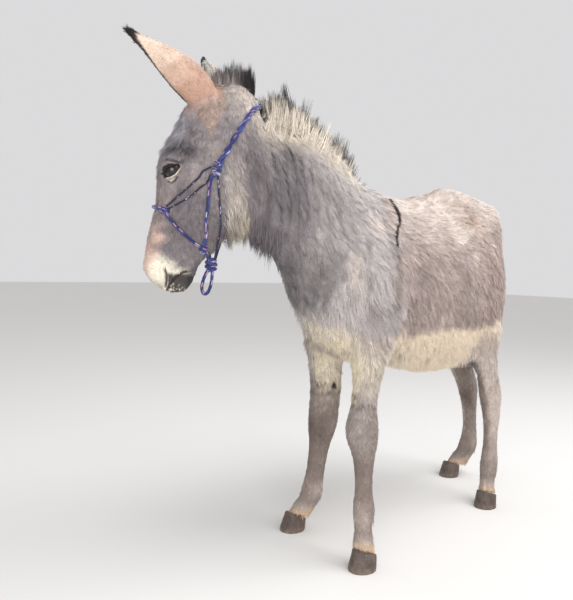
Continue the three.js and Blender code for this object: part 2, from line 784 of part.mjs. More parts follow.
pieces.eye_left = { body: makeEye(1), look: 'eye' };
pieces.eye_right = { body: makeEye(-1), look: 'eye' };
pieces.ear_left = { body: cut(ears.ear_left(0), halter), look: 'ear' };
pieces.ear_right = { body: cut(ears.ear_right(0), halter), look: 'ear' };
pieces.forelock = { body: cut(makeForelock(), inHead), look: 'mane' };
pieces.mane = { body: cut(makeMane(), [makeForelock(gap), ...halter]), look: 'mane' };
pieces.head = { body: cut(makeHead(), inHead), look: 'head' };
pieces.neck = { body: cut(makeNeck(), [makeForelock(gap), ...inHead]), look: 'coat' };
pieces.trunk = { body: cut(makeTrunk(), [makeMane(gap)]), look: 'coat' };
pieces.tail = { body: makeTail(), look: 'coat' };
pieces.tail_tuft = { body: makeTuft(), look: 'mane' };
for (const name of Object.keys(legPaths)) {
  pieces[name] = { body: makeLeg(name), look: 'coat' };
  pieces[name.replace('leg', '_hoof')] = { body: makeHoof(name), look: 'hoof' };
}

const group = new THREE.Group();
for (const [name, piece] of Object.entries(pieces)) {
  const mesh = piece.body.getMesh();
  const geometry = new THREE.BufferGeometry();
  geometry.setAttribute('position', new THREE.BufferAttribute(Float32Array.from(mesh.vertProperties), 3));
  geometry.setIndex(Array.from(mesh.triVerts));
  const [color, roughness] = looks[piece.look];
  const shown = new THREE.Mesh(geometry, new THREE.MeshStandardMaterial({ color, roughness, metalness: 0 }));
  shown.name = name;
  group.add(shown);
}
const box = new THREE.Box3().setFromObject(group);
const base = new THREE.Vector3((box.min.x + box.max.x) / 2, (box.min.y + box.max.y) / 2, box.min.z);
for (const shown of group.children) shown.geometry.translate(-base.x, -base.y, -base.z);

export default group;
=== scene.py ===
import bpy
import math
import numpy as np
from mathutils import Matrix, Vector
from mathutils.bvhtree import BVHTree
from mathutils.kdtree import KDTree


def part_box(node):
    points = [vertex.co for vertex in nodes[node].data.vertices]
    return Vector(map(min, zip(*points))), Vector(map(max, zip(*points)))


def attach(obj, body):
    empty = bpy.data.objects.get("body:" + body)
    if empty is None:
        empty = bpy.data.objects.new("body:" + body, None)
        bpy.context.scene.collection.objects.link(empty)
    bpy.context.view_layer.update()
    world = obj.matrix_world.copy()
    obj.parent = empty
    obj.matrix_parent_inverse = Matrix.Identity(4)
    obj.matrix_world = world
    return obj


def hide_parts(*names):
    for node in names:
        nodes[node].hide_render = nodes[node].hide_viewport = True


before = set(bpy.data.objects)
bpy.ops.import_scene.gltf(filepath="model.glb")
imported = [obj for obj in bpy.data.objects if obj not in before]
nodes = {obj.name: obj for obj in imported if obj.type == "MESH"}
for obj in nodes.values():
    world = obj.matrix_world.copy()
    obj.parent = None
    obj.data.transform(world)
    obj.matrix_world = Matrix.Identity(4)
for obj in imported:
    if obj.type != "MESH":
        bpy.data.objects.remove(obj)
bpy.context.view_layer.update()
print("frame loaded:", len(nodes), "nodes")

# Places are given in millimetres from the point on the ground midway between the fore hooves.
body = {
    "stand": np.array([0.0433, -0.1941, -0.014]),
    "poll": np.array([-16.6, -313.7, 1162.3]),
    "headAhead": np.array([-0.695, -0.719, 0.0]),
    "headLeft": np.array([0.719, -0.695, 0.0]),
    "neckJoint": np.array([0.0, 66.0, 1010.0]),
    "faceSlope": (0.427, 0.904),
}


def unit(v):
    return v / np.maximum(np.linalg.norm(v, axis=-1, keepdims=True), 1e-9)


def place(x, y, z):
    return body["stand"] + np.array([x, y, z]) / 1000


def crownPlace(ahead, up, aside):  # from the poll, level with the ground
    level = body["poll"] + body["headAhead"] * ahead + body["headLeft"] * aside
    return place(*(level + np.array([0, 0, up])))


def headPlace(along, forward, aside):  # down the face, out of the face, toward the left cheek
    run, drop = body["faceSlope"]
    return crownPlace(run * along + drop * forward, -drop * along + run * forward, aside)


def headWay(along, forward):
    way = headPlace(along, forward, 0) - headPlace(0, 0, 0)
    return way / np.linalg.norm(way)


def groundCoords(p):
    return (p - body["stand"]) * 1000


def headCoords(p):
    d = groundCoords(p) - body["poll"]
    ahead, up = d @ body["headAhead"], d[..., 2]
    run, drop = body["faceSlope"]
    return run * ahead - drop * up, drop * ahead + run * up, d @ body["headLeft"]


def ramp(low, high, value):
    f = np.clip((value - low) / (high - low), 0, 1)
    return f * f * (3 - 2 * f)


def fall(low, high, value):
    return 1 - ramp(low, high, value)


def hill(value, middle, spread):
    return np.exp(-(((value - middle) / spread) ** 2))


def even(count, row):  # the same colour or direction for every point
    return np.ones((count, 3)) * row


# Smooth random field in -1..1; size is the width of its lumps in metres.
def cloud(p, size, seed=0.0):
    q = p / size + seed
    base = np.floor(q)
    f = q - base
    f = f * f * (3 - 2 * f)
    total = np.zeros(len(p))
    for corner in range(8):
        step = np.array([corner & 1, corner >> 1 & 1, corner >> 2])
        cell = base + step
        noise = np.sin(cell @ np.array([127.1, 311.7, 74.7]) + 19.19) * 43758.5453
        weight = np.prod(np.where(step, f, 1 - f), axis=1)
        total += weight * (noise - np.floor(noise))
    return 2 * total - 1


# Distance of each point to a line of points, and how far along the line it lies, 0 to 1.
def nearLine(p, line):
    line = np.asarray(line, float)
    best = np.full(len(p), 1e9)
    share = np.zeros(len(p))
    for k in range(len(line) - 1):
        a, run = line[k], line[k + 1] - line[k]
        f = np.clip((p - a) @ run / (run @ run), 0, 1)
        gap = np.linalg.norm(p - a - f[:, None] * run, axis=1)
        closer = gap < best
        best = np.where(closer, gap, best)
        share = np.where(closer, (k + f) / (len(line) - 1), share)
    return best, share


def alongTable(table, share):
    table = np.asarray(table, float)
    at = share * (len(table) - 1)
    k = np.minimum(at.astype(int), len(table) - 2)
    f = (at - k)[:, None]
    return table[k] * (1 - f) + table[k + 1] * f


# Rings of each ear: ahead, up, aside, width and depth.
earRings = {
    "earLeft": [[76, -46, 44, 54, 24], [84, -14, 50, 66, 30], [106, 18, 56, 80, 33], [137, 50, 60, 82, 30],
                [171, 77, 64, 66, 23], [207, 103, 67, 42, 15], [241, 126, 69, 20, 8], [264, 143, 70, 8, 4]],
    "earRight": [[76, -46, -42, 54, 24], [84, -8, -58, 66, 30], [92, 30, -84, 80, 33],
                 [98, 68, -114, 82, 30], [106, 102, -146, 66, 23], [116, 132, -178, 42, 15],
                 [126, 155, -206, 20, 8], [132, 170, -224, 8, 4]],
}

# Middle lines of the ears, past the second ring, and of the tail, and the crest under the mane.
lines = {name: [crownPlace(*ring[:3]) for ring in rings[:1] + rings[2:]]
         for name, rings in earRings.items()}
lines["tail"] = [place(0, y, z) for y, z in ((700, 925), (752, 922), (792, 892), (808, 826), (812, 740),
                                             (812, 560))]
lines["crest"] = [place(*p) for p in ([-3, -250, 1110], [-3, -188, 1108], [-2, -106, 1084], [0, -24, 1042],
                                      [0, 48, 990], [0, 90, 950])]
earOpening = {
    "earLeft": unit(-body["headLeft"] + 0.5 * body["headAhead"]),
    "earRight": unit(body["headLeft"] + 0.9 * body["headAhead"]),
}


# Middle lines of the legs, from the elbow or stifle to the ground, and the widest each leg gets.
legLines = {
    "foreLeft": ([[88, 40, 800], [92, 48, 700], [94, 54, 610], [96, 44, 530], [102, 24, 448],
                  [108, 12, 356], [110, 18, 297], [116, 15, 215], [123, 10, 148], [133, -1, 104],
                  [143, -11, 62], [148, -16, 20]], 62),
    "foreRight": ([[-86, 46, 800], [-92, 56, 700], [-95, 66, 610], [-98, 80, 530], [-99, 90, 448],
                   [-105, 90, 330], [-107, 80, 268], [-111, 70, 190], [-119, 64, 118], [-129, 48, 84],
                   [-139, 32, 54], [-147, 24, 20]], 62),
    "hindLeft": ([[76, 574, 790], [93, 585, 690], [113, 602, 590], [116, 630, 486], [110, 656, 428],
                  [105, 684, 370], [103, 701, 300], [104, 700, 210], [108, 690, 136], [115, 673, 88],
                  [122, 657, 52], [126, 646, 20]], 84),
    "hindRight": ([[-86, 626, 790], [-92, 660, 690], [-93, 716, 590], [-91, 792, 478], [-89, 834, 412],
                   [-86, 866, 350], [-88, 886, 282], [-91, 902, 200], [-97, 906, 132], [-107, 890, 88],
                   [-118, 855, 54], [-127, 836, 20]], 84),
}


def earEdges(name):  # both edges of an ear, the leading one first
    rings = np.array(earRings[name], float)
    middle = np.array([crownPlace(*ring[:3]) for ring in rings])
    axis = unit(np.gradient(middle, axis=0))
    face = unit(earOpening[name] - (axis @ earOpening[name])[:, None] * axis)
    across = np.cross(axis, face)
    inward = face * (0.23 * rings[:, 4:5]) / 1000
    edges = [middle + hand * across * 0.487 * rings[:, 3:4] / 1000 + inward for hand in (1, -1)]
    return sorted(edges, key=lambda edge: -(edge.mean(axis=0) @ body["headAhead"]))


earRims = {name: earEdges(name) for name in earRings}


# How much each point belongs to each part of the body.
def parts(p):
    q = groundCoords(p)
    s, t, side = headCoords(p)
    throat = (p - headPlace(150, -118, 0)) @ unit(np.array([-0.42, -0.88, 0.2])) * 1000
    neckward = -(q - body["neckJoint"]) @ unit(np.array([0.0, 0.88, -0.46]))
    made = {"head": ramp(-25, 25, throat)}
    made["neck"] = (1 - made["head"]) * ramp(-60, 60, neckward)
    made["legs"] = np.zeros(len(p))
    for line, wide in legLines.values():
        line = np.array(line, float)[::-1]
        gap = np.hypot(q[:, 0] - np.interp(q[:, 2], line[:, 2], line[:, 0]),
                       q[:, 1] - np.interp(q[:, 2], line[:, 2], line[:, 1]))
        own = fall(wide, wide + 26, gap) * fall(520, 630, q[:, 2])
        made["legs"] = np.maximum(made["legs"], np.where(q[:, 2] < 440, 1.0, own))
    made["legs"] *= 1 - made["head"]
    made["ears"] = np.zeros(len(p))
    made["nearEar"] = np.zeros(len(p))
    for name in earRings:
        gap, share = nearLine(p, lines[name])
        made["ears"] = np.maximum(made["ears"], fall(0.048, 0.060, gap) * ramp(0.03, 0.13, share))
        made["nearEar"] = np.maximum(made["nearEar"], 1 - ramp(0.044, 0.070, gap))
    gap, share = nearLine(p, lines["tail"])
    made["tail"] = fall(0.026, 0.034, gap) * ramp(0.12, 0.3, share)
    made["head"] *= 1 - made["ears"]
    made["trunk"] = np.clip(1 - sum(made[k] for k in ("head", "neck", "legs", "ears", "tail")), 0, 1)
    made["q"], made["face"] = q, (s, t, side)
    return made


def flatten(way, n):  # what is left of each way along the surface
    return way - np.sum(way * n, axis=1)[:, None] * n


# Length of the coat, how deep it is over the skin and how far it stands out.
def coatSizes(p, n):
    w = parts(p)
    (s, t), (y, z) = w["face"][:2], w["q"][:, 1:].T
    under = ramp(0.1, 0.8, -n[:, 2])
    chest = w["trunk"] * fall(40, 150, y) * fall(720, 800, z)
    belly = w["trunk"] * under * ramp(60, 160, y)
    back = w["trunk"] * ramp(0.5, 0.9, n[:, 2])
    lowLeg = w["legs"] * fall(330, 520, z)
    feather = w["legs"] * (hill(z, 120, 24) * ramp(0.2, 0.8, n[:, 1]) + 0.35 * fall(62, 84, z))
    forehead = w["head"] * fall(160, 195, s) * ramp(20, 70, t) * (1 - 0.6 * w["nearEar"])
    jowl = w["head"] * fall(-85, -45, t) * fall(300, 350, s)
    muzzle = w["head"] * ramp(320, 400, s)
    length = (0.025 * w["trunk"] + 0.028 * w["neck"] + 0.021 * w["legs"] + 0.0135 * w["head"]
              + 0.009 * w["ears"] + 0.020 * w["tail"])
    length += (0.013 * chest + 0.012 * belly - 0.0095 * lowLeg + 0.012 * feather + 0.009 * forehead
               + 0.014 * jowl - 0.0060 * muzzle)
    lift = (0.34 + 0.14 * chest + 0.12 * belly - 0.10 * back - 0.12 * lowLeg + 0.16 * forehead + 0.1 * jowl
            - 0.12 * muzzle - 0.1 * w["ears"])
    length = np.maximum(length, 0.004)
    depth = np.clip(0.62 * lift * length, 0.0008, 0.012) * (1 - 0.5 * np.maximum(w["ears"], w["nearEar"]))
    return length, depth, lift, w


# Direction in which the coat lies, along the surface.
def coatLie(p, n, w):
    q, (s, t, side) = w["q"], w["face"]
    rear = ramp(560, 760, q[:, 1])[:, None]
    front = fall(20, 200, q[:, 1])[:, None]
    top = ramp(-0.1, 0.75, n[:, 2])[:, None]
    trunk = ((np.array([0, 0.96, -0.22]) * top + np.array([0, 0.45, -0.89]) * (1 - top))
             * (1 - rear) * (1 - front))
    trunk = trunk + np.array([0, 0.3, -0.95]) * rear + np.array([0, 0.4, -0.92]) * front
    low = fall(-0.35, 0.35, (q[:, 2] - 1035 + 0.5 * (q[:, 1] + 60)) / 150)[:, None]
    neck = np.array([0, 0.72, -0.69]) * (1 - low) + np.array([0, 0.22, -0.97]) * low
    legs = np.array([0, 0.05, -1.0])
    backward = fall(-70, 20, t)[:, None]
    upward = (fall(110, 175, s) * ramp(30, 70, t))[:, None]
    face = headWay(1, -0.2) * (1 - 0.6 * backward) + headWay(0.35, -0.95) * 0.6 * backward
    face = (face * (1 - 0.5 * upward)
            + 0.5 * upward * (headWay(0.2, -0.2) + side[:, None] * 0.01 * body["headLeft"]))
    way = (trunk * w["trunk"][:, None] + neck * w["neck"][:, None] + legs * w["legs"][:, None]
           + face * w["head"][:, None] + np.array([0, 0.2, -1.0]) * w["tail"][:, None])
    for name in earRings:
        gap, share = nearLine(p, lines[name])
        ends = np.asarray(lines[name])
        pull = (fall(0.045, 0.07, gap) * ramp(0.02, 0.2, share))[:, None]
        way = way * (1 - pull) + unit(ends[-1] - ends[1]) * pull
    way = unit(flatten(way, n))
    streak = p * np.array([1, 1, 0.35])
    turn = 0.38 * cloud(p, 0.05, 3.1) * (1 - 0.5 * w["head"]) + 0.22 * cloud(streak, 0.014, 7.7)
    turn += 0.45 * cloud(streak, 0.03, 1.3) * (0.7 * w["neck"] + 0.7 * w["trunk"] * front[:, 0])
    turn += 0.8 * cloud(p, 0.022, 6.3) * w["head"] * fall(150, 190, s) * ramp(10, 60, t)
    turn *= 1 - 0.7 * w["ears"]
    cross = np.cross(n, way)
    return unit(way * np.cos(turn)[:, None] + cross * np.sin(turn)[:, None])


def eyeFrame(side):  # centre of the ball, where it looks, along the lids, and toward the brow
    low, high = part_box("eye_left" if side > 0 else "eye_right")
    centre = (np.array(low) + np.array(high)) / 2
    look = unit(body["headLeft"] * side + 0.12 * body["headAhead"] - 0.22 * headWay(-0.46, 1))
    canthus = headWay(1, 0.46)
    canthus = unit(canthus - (canthus @ look) * look)
    brow = unit(np.cross(look, canthus))
    if brow @ headWay(0, 1) < 0:
        brow = -brow
    return centre, look, canthus, brow


def eyeCoords(p, side):  # along the lids, toward the brow and out of the eye, in millimetres
    centre, look, canthus, brow = eyeFrame(side)
    d = (p - centre) * 1000
    return d @ canthus, d @ brow, d @ look


def eyePlace(side, a, b, k):
    centre, look, canthus, brow = eyeFrame(side)
    return centre + (np.outer(a, canthus) + np.outer(b, brow) + np.outer(k, look)) / 1000


lidSizes = {"ball": 0.020, "skin": 0.0214, "half": 19.6, "upper": 12.5, "lower": 8.0, "low": 3.5,
            "rim": 0.0011, "skew": 0.28, "hollow": 16.5}


# Distance outside the opening of the lids, in millimetres, and the same place with its height taken
# from the line between the corners of the eye.
def lidGap(a, b):
    c = b + lidSizes["low"]
    upper = lidSizes["upper"] * (1 + lidSizes["skew"] * np.clip(a / lidSizes["half"], -1, 1))
    high = np.where(c > 0, upper, lidSizes["lower"])
    ratio = (np.abs(a) / lidSizes["half"]) ** 1.5 + (np.abs(c) / high) ** 2
    scale = np.maximum(ratio, 1e-6) ** -0.57
    return np.hypot(a, c) * (1 - scale), c, scale


# Nostril, mouth and angle of the jaw, along and forward; the other side is the same.
faceLines = {
    "nostril": [[427, -12], [436, -19], [450, -25], [466, -28]],
    "mouth": [[402, -66], [416, -50], [434, -41], [456, -36], [484, -30]],
    "jaw": [[138, -54], [172, -66], [216, -92], [262, -114]],
}


def faceLine(name, s, t):  # distance to the line and share of its length, seen from the side
    return nearLine(np.column_stack([s, t]), faceLines[name])


# Hues of the coat, as seen in daylight.
def hue(red, green, blue):
    c = np.array([red, green, blue]) / 255
    return np.where(c <= 0.04045, c / 12.92, ((c + 0.055) / 1.055) ** 2.4)


hues = {
    "trunk": hue(172, 155, 149), "neck": hue(113, 107, 110), "shoulder": hue(194, 186, 184),
    "light": hue(228, 213, 202), "croup": hue(156, 126, 108), "belly": hue(253, 233, 207),
    "chest": hue(242, 227, 198), "leg": hue(154, 140, 132), "legDark": hue(110, 96, 90),
    "face": hue(146, 137, 138), "faceDark": hue(104, 97, 101), "brow": hue(58, 52, 56),
    "muzzle": hue(254, 244, 224), "nose": hue(222, 190, 176), "lip": hue(52, 46, 46),
    "jowl": hue(191, 180, 171), "earBack": hue(250, 224, 204), "earLow": hue(194, 156, 136),
    "earIn": hue(240, 231, 220), "dark": hue(62, 53, 52), "stripe": hue(36, 31, 33),
    "band": hue(210, 180, 150), "rim": hue(238, 226, 202), "manePale": hue(219, 206, 189),
    "thigh": hue(104, 100, 106), "forehead": hue(170, 166, 175), "tan": hue(178, 154, 140),
}


def tint(colour, name, share):
    share = np.clip(share, 0, 1)[:, None]
    return colour * (1 - share) + hues[name] * share


# Soft upright folds of the coat on the side of the neck; 1 at the bottom of a fold.
def neckFolds(p, w):
    q = w["q"]
    run = q[:, 1] + 0.10 * q[:, 2] + 14 * cloud(p, 0.09, 12.0)
    where = (w["neck"] + 0.6 * w["head"] * hill(q[:, 1], -285, 40)) * ramp(-330, -280, q[:, 1])
    where = where * fall(-90, 10, q[:, 1]) * ramp(860, 930, q[:, 2])
    return where * (0.5 + 0.5 * np.cos(run / 27 * 2 * math.pi)) ** 2


# The colour of skin and coat at each point, laid on marking by marking, with painted shade in folds,
# creases and hollows and a painted highlight on the top of the trunk.
def markingsAndPaintedLight(p, n):
    w = parts(p)
    q, (s, t, side) = w["q"], w["face"]
    x, y, z = q[:, 0], q[:, 1], q[:, 2]
    wide, fine, speck = cloud(p, 0.06, 5.0), cloud(p, 0.018, 9.0), cloud(p, 0.005, 2.0)
    streak = cloud(p * np.array([1, 1, 0.28]), 0.016, 4.0)
    curl = cloud(p, 0.011, 14.0)
    c = even(len(p), hues["trunk"])

    def add(name, share):
        nonlocal c
        c = tint(c, name, share)

    add("shoulder", 0.92 * fall(60, 132, y + 34 * wide + 16 * fine) * ramp(560, 640, z))
    # A dark band behind the shoulder: partly the coat's darker edge, partly painted shade in the crease
    # there.
    add("legDark", 0.36 * hill(y, 80 + 14 * fine, 24) * ramp(640, 700, z) * fall(820, 900, z))
    add("light", 0.35 * hill(y, 112 + 10 * fine, 11) * ramp(640, 700, z) * fall(880, 950, z))
    add("croup", 0.25 * ramp(430, 540, y + 30 * wide) * w["trunk"])
    # The upward-facing top of the trunk is lighter: partly paler coat, partly a painted highlight where
    # light from above falls.
    add("light", 0.75 * ramp(0.05, 0.65, n[:, 2] + 0.12 * wide) * w["trunk"] * ramp(60, 200, y))
    for spot, size in (([119, 32, 900], 46), ([120, -50, 800], 34), ([123, -50, 755], 34),
                       ([131, -26, 700], 30)):
        far = np.linalg.norm((np.column_stack([np.abs(x), y, z]) - spot) / [1.6, 0.8, 1.2], axis=1)
        add("light", 0.6 * fall(0.2 * size, size, far + 9 * fine) * (w["trunk"] + w["neck"]))
    add("legDark", 0.45 * hill(y, 12, 22) * hill(z, 665, 40) * ramp(0.3, 0.8, np.abs(n[:, 0])))
    red = hill(y, 474, 42) * hill(z, 945, 50) * ramp(0.1, 0.5, np.abs(n[:, 0]))
    add("croup", 0.75 * red * (0.8 + 0.3 * fine))
    patch = hill(y, 450, 200) * hill(z, 700, 50) * ramp(0.2, 0.6, np.abs(n[:, 0])) * ramp(250, 340, y)
    add("light", 0.12 * patch * (0.8 + 0.4 * fine))
    add("legDark", 0.22 * hill(y, 400, 60) * hill(z, 700, 60) * w["trunk"])
    pale = 0.55 * ramp(-196, -136, y) + 0.25 * ramp(-80, 10, y)
    add("neck", w["neck"] * (0.85 + 0.15 * wide) * (1 - pale * ramp(690, 780, z)))
    up = z + 0.52 * (y + 200)  # height above a line that runs down along the neck
    add("shoulder", 0.9 * w["neck"] * ramp(1010, 1090, up + 14 * wide) * ramp(-215, -120, y))
    # Painted shade: the coat is darkened at the bottom of each fold on the sides of the neck.
    c = c * (1 - 0.34 * neckFolds(p, w) * ramp(0.3, 1.0, np.abs(n[:, 0])))[:, None]
    # Painted shade under the lower front of the neck and on the breast; the breast also gets a curly light
    # and dark texture.
    breast = hill(y, -110, 60) * hill(z, 695, 60) * (1 - w["head"])
    breastShade = fall(-150, -64, y - 0.25 * (z - 700)) * fall(770, 850, z) * ramp(590, 650, z) * (1 - w["head"])
    c = c * (1 - 0.34 * breastShade + 0.28 * breast * curl)[:, None]
    edge = 604 + 0.05 * (y - 136) + 12 * wide + 9 * fine
    add("belly", fall(-18, 18, z - edge) * w["trunk"] * ramp(50, 100, y) * fall(600, 680, y))
    # Painted shade on the downward-facing underside of the belly toward the front, tinted toward the darker
    # leg colour.
    under = ramp(0.35, 0.9, 0.2 * fine - n[:, 2]) * fall(150, 330, y) * ramp(30, 70, y)
    add("leg", 0.6 * under * w["trunk"])
    chest = fall(70, 104, x + 16 * fine) * ramp(-34, 26, x + 20 * fine) * fall(90, 140, y)
    chest = chest * fall(606, 652, z + 26 * fine + 20 * wide) * (1 - w["head"])
    add("chest", chest * (0.84 + 0.4 * fine - 0.5 * ramp(0.2, 0.7, curl)))
    # legs
    onLeg, foreLeg = w["legs"], fall(300, 400, y)
    outward = n[:, 0] * np.sign(x)
    add("leg", onLeg)
    add("shoulder", 0.6 * onLeg * ramp(360, 540, z + 20 * wide) * foreLeg)
    add("shoulder", 0.22 * onLeg * ramp(250, 330, z) * ramp(0, 40, x) * foreLeg)
    add("light", 0.42 * onLeg * fall(80, 210, z))
    add("legDark", 0.5 * onLeg * hill(z + 14 * wide, 262, 56) * foreLeg)
    add("light", 0.62 * onLeg * ramp(450, 520, y) * ramp(-0.1, 0.5, outward + 0.15 * fine)
        * ramp(120, 300, z))
    front = onLeg * ramp(0.2, 0.7, -n[:, 1]) * ramp(450, 540, z + 14 * fine) * fall(0.3, 0.8, outward)
    # Less cream on the right foreleg than the left: partly greyer coat, partly painted shade on the side
    # away from the lamps.
    add("chest", 0.7 * front * foreLeg * (1 - 0.5 * fall(-40, 0, x)))
    inner = onLeg * fall(0.0, 0.45, outward - 0.25 * n[:, 1] + 0.2 * fine) * ramp(396, 456, z + 14 * fine)
    add("chest", 0.85 * inner * fall(350, 450, y) * (1 - 0.3 * fall(-40, 0, x)))
    add("chest", 0.4 * onLeg * ramp(420, 500, z + 20 * fine) * ramp(20, 70, x) * foreLeg)
    add("thigh", 0.75 * onLeg * fall(-0.4, 0.3, outward) * ramp(440, 490, z) * ramp(450, 520, y))
    add("legDark", 0.85 * onLeg * hill(z, 322, 46) * ramp(-0.4, 0.3, wide - n[:, 1]) * fall(0, 60, x))
    add("legDark", 0.4 * onLeg * ramp(0, 0.5, wide) * fall(420, 520, z))
    add("legDark", 0.5 * onLeg * hill(z, 105, 20))
    add("legDark", 0.7 * onLeg * hill(z + 6 * fine, 424, 5) * foreLeg)
    add("dark", 0.7 * inner * hill(z + 5 * fine, 448, 5) * ramp(0.1, 0.6, -n[:, 1]) * foreLeg)
    add("band", 0.9 * onLeg * fall(66, 90, z + 8 * fine))
    for spot in ([-53, 80, 446], [52, 40, 462]):
        add("stripe", 0.95 * fall(0.7, 1.1, np.linalg.norm((q - spot) / [22, 8, 15], axis=1)))
    # head
    h, flank = w["head"], np.abs(side)
    add("face", h)
    cheek = ramp(196, 246, s + 0.4 * t) * fall(14, 62, t - 0.1 * (s - 250)) * ramp(-130, -84, t)
    add("faceDark", 0.6 * h * cheek * (0.9 + 0.4 * wide))
    add("faceDark", 0.3 * h * ramp(-0.1, 0.6, wide) * ramp(100, 160, s))
    add("faceDark", 0.45 * h * hill(s, 128, 26) * hill(t, 18, 26))
    add("light", 0.25 * h * hill(s, 212, 24) * hill(t, 14, 20))
    # Painted shade behind the angle of the jaw where the head meets the neck: tinted darker, then darkened
    # further.
    add("faceDark", 0.9 * hill(s, 120, 56) * hill(t, -124, 58) * ramp(15, 40, flank)
        * np.maximum(h, w["neck"]))
    jawHollowShade = hill(s, 100, 54) * hill(t, -106, 42) * ramp(15, 40, flank) * np.maximum(h, w["neck"])
    c *= (1 - 0.3 * jawHollowShade)[:, None]
    add("nose", 0.2 * h * hill(s, 300, 34) * ramp(10, 50, t))
    add("neck", 0.85 * h * fall(-138, -100, t) * ramp(60, 110, s))
    add("faceDark", 0.6 * h * ramp(370, 395, s) * fall(-72, -56, t + 5 * fine))
    add("jowl", 0.6 * h * fall(10, 70, s))
    add("light", 0.5 * h * fall(0, 45, s) * fall(30, 60, flank))
    add("forehead", 0.8 * h * ramp(60, 100, t) * fall(185, 215, s))
    mottle = hill(s, 165 + 0.5 * np.maximum(t - 72, 0), 18) * ramp(24, 50, t) * fall(106, 124, t)
    mottle *= ramp(44, 60, flank)
    add("brow", 0.95 * h * mottle * ramp(-0.75, 0.2, curl + 0.4 * fine))
    add("forehead", 0.5 * h * ramp(0.2, 0.6, curl) * hill(s, 150, 40) * ramp(20, 50, t))
    add("jowl", 0.45 * h * hill(s, 135, 20) * hill(t, 5, 22))
    run = np.clip(((s - 45) * 65 + (t - 60) * -37) / (65 ** 2 + 37 ** 2), 0, 1)
    off = np.hypot(s - 45 - 65 * run, t - 60 + 37 * run)
    wedge = fall(-7, 9, off - 36 * (1 - run) ** 0.8 + 5 * curl + 4 * fine)
    add("tan", 0.8 * wedge * ramp(44, 60, flank) * np.maximum(h, w["ears"]))
    pink = h * ramp(322, 372, s + 10 * fine) * ramp(4, 42, t + 8 * fine)
    add("nose", pink * (0.85 + 0.15 * wide + 0.15 * fine))
    white = ramp(-20, 22, s - 405 - 0.5 * np.maximum(t - 6, 0) - 0.3 * np.maximum(-5 - t, 0) + 9 * fine
                 + 5 * speck)
    add("muzzle", h * white * ramp(-76, -62, t + 4 * fine))
    add("nose", 0.75 * h * ramp(392, 420, s) * ramp(10, 34, t + 5 * fine))
    add("face", 0.4 * h * ramp(452, 470, s) * ramp(-30, -20, t))
    lip = ramp(-5, 5, s - 443 - 0.44 * t + 4 * fine) * fall(-4, 5, t + 20 + 0.43 * (s - 433) + 3 * fine)
    add("lip", 0.95 * h * lip)
    add("muzzle", 0.8 * h * lip * ramp(0.12, 0.38, cloud(p, 0.0042, 2.0)) * ramp(440, 460, s))
    add("lip", 0.9 * ramp(400, 412, s) * h * fall(2.0, 4.0, faceLine("mouth", s, t)[0]))
    add("brow", 0.9 * h * ramp(405, 415, s) * ramp(14, 26, flank)
        * fall(1.6, 3.6, faceLine("nostril", s, t)[0]))
    off, share = faceLine("jaw", s, t)
    low = 0.3 + 0.6 * ramp(0.1, 0.6, share)
    low *= fall(12, 26, off + 6 * fine) * ramp(0.2, 0.7, h + 0.6 * hill(t, -120, 26))
    add("jowl", low)
    add("faceDark", 0.6 * low * ramp(0.15, 0.55, cloud(p * np.array([1, 1, 0.25]), 0.007, 8.0)))
    for hand in (1, -1):
        a, b, k = eyeCoords(p, hand)
        near = (a ** 2 + b ** 2 + k ** 2 < 50 ** 2) & (k > 0)
        gap, high = lidGap(a, b)[:2]
        upper = ramp(-1, 6, high)
        spot = np.column_stack([a, b])
        add("earLow", near * 0.2 * hill(gap, 9, 3) * upper)
        # Painted shade: a dark line along the crease under the brow, above and behind the eye.
        browCreaseShade = nearLine(spot, [[6, 33], [-10, 20], [-23, 4], [-34, -3], [-44, -8]])[0]
        add("brow", near * 0.75 * fall(1.6, 4.6, browCreaseShade) * ramp(-46, -28, a))
        add("rim", near * 0.5 * hill(a, 15, 8) * hill(b, -17, 4))
        add("rim", near * 0.95 * fall(2.8, 4.4, gap - 1.4 * ramp(6, 18, a)) * fall(-4, -2, high))
        # The dark lid margin, widened above the front of the eye by painted shade under the brow and
        # lashes.
        lidDarkAndShade = 0.7 + ramp(-3, 3, high) * (0.4 + 4.2 * ramp(-17, -8, a) + 5.0 * ramp(1, 12, a))
        add("stripe", near * 0.98 * fall(lidDarkAndShade, lidDarkAndShade + 1.4, gap))
        hook = nearLine(spot, [[0, -20], [9, -23], [19, -22], [24, -15]])[0]
        add("dark", near * 0.85 * fall(1.3, 2.9, hook))
    # ears
    for name in earRings:
        gap, share = nearLine(p, lines[name])
        near = fall(0.048, 0.060, gap) * ramp(0.03, 0.14, share)
        own = even(len(p), hues["earBack"])
        own = tint(own, "earLow", 1 - ramp(0.15, 0.75, share + 0.08 * fine))
        own = tint(own, "earIn", ramp(-0.1, 0.35, n @ earOpening[name]) * ramp(0.2, 0.3, share))
        for rim, dark in zip(earRims[name], (0.95, 0.25)):
            off, far = nearLine(p, rim)
            reach = 0.0076 + 0.003 * ramp(0.5, 1, far)
            own = tint(own, "stripe", dark * fall(reach, reach + 0.003, off + 0.001 * fine)
                       * ramp(0.16, 0.30, far))
        own = tint(own, "stripe", ramp(0.8, 0.87, share + 0.02 * fine))
        c = c * (1 - near[:, None]) + own * near[:, None]
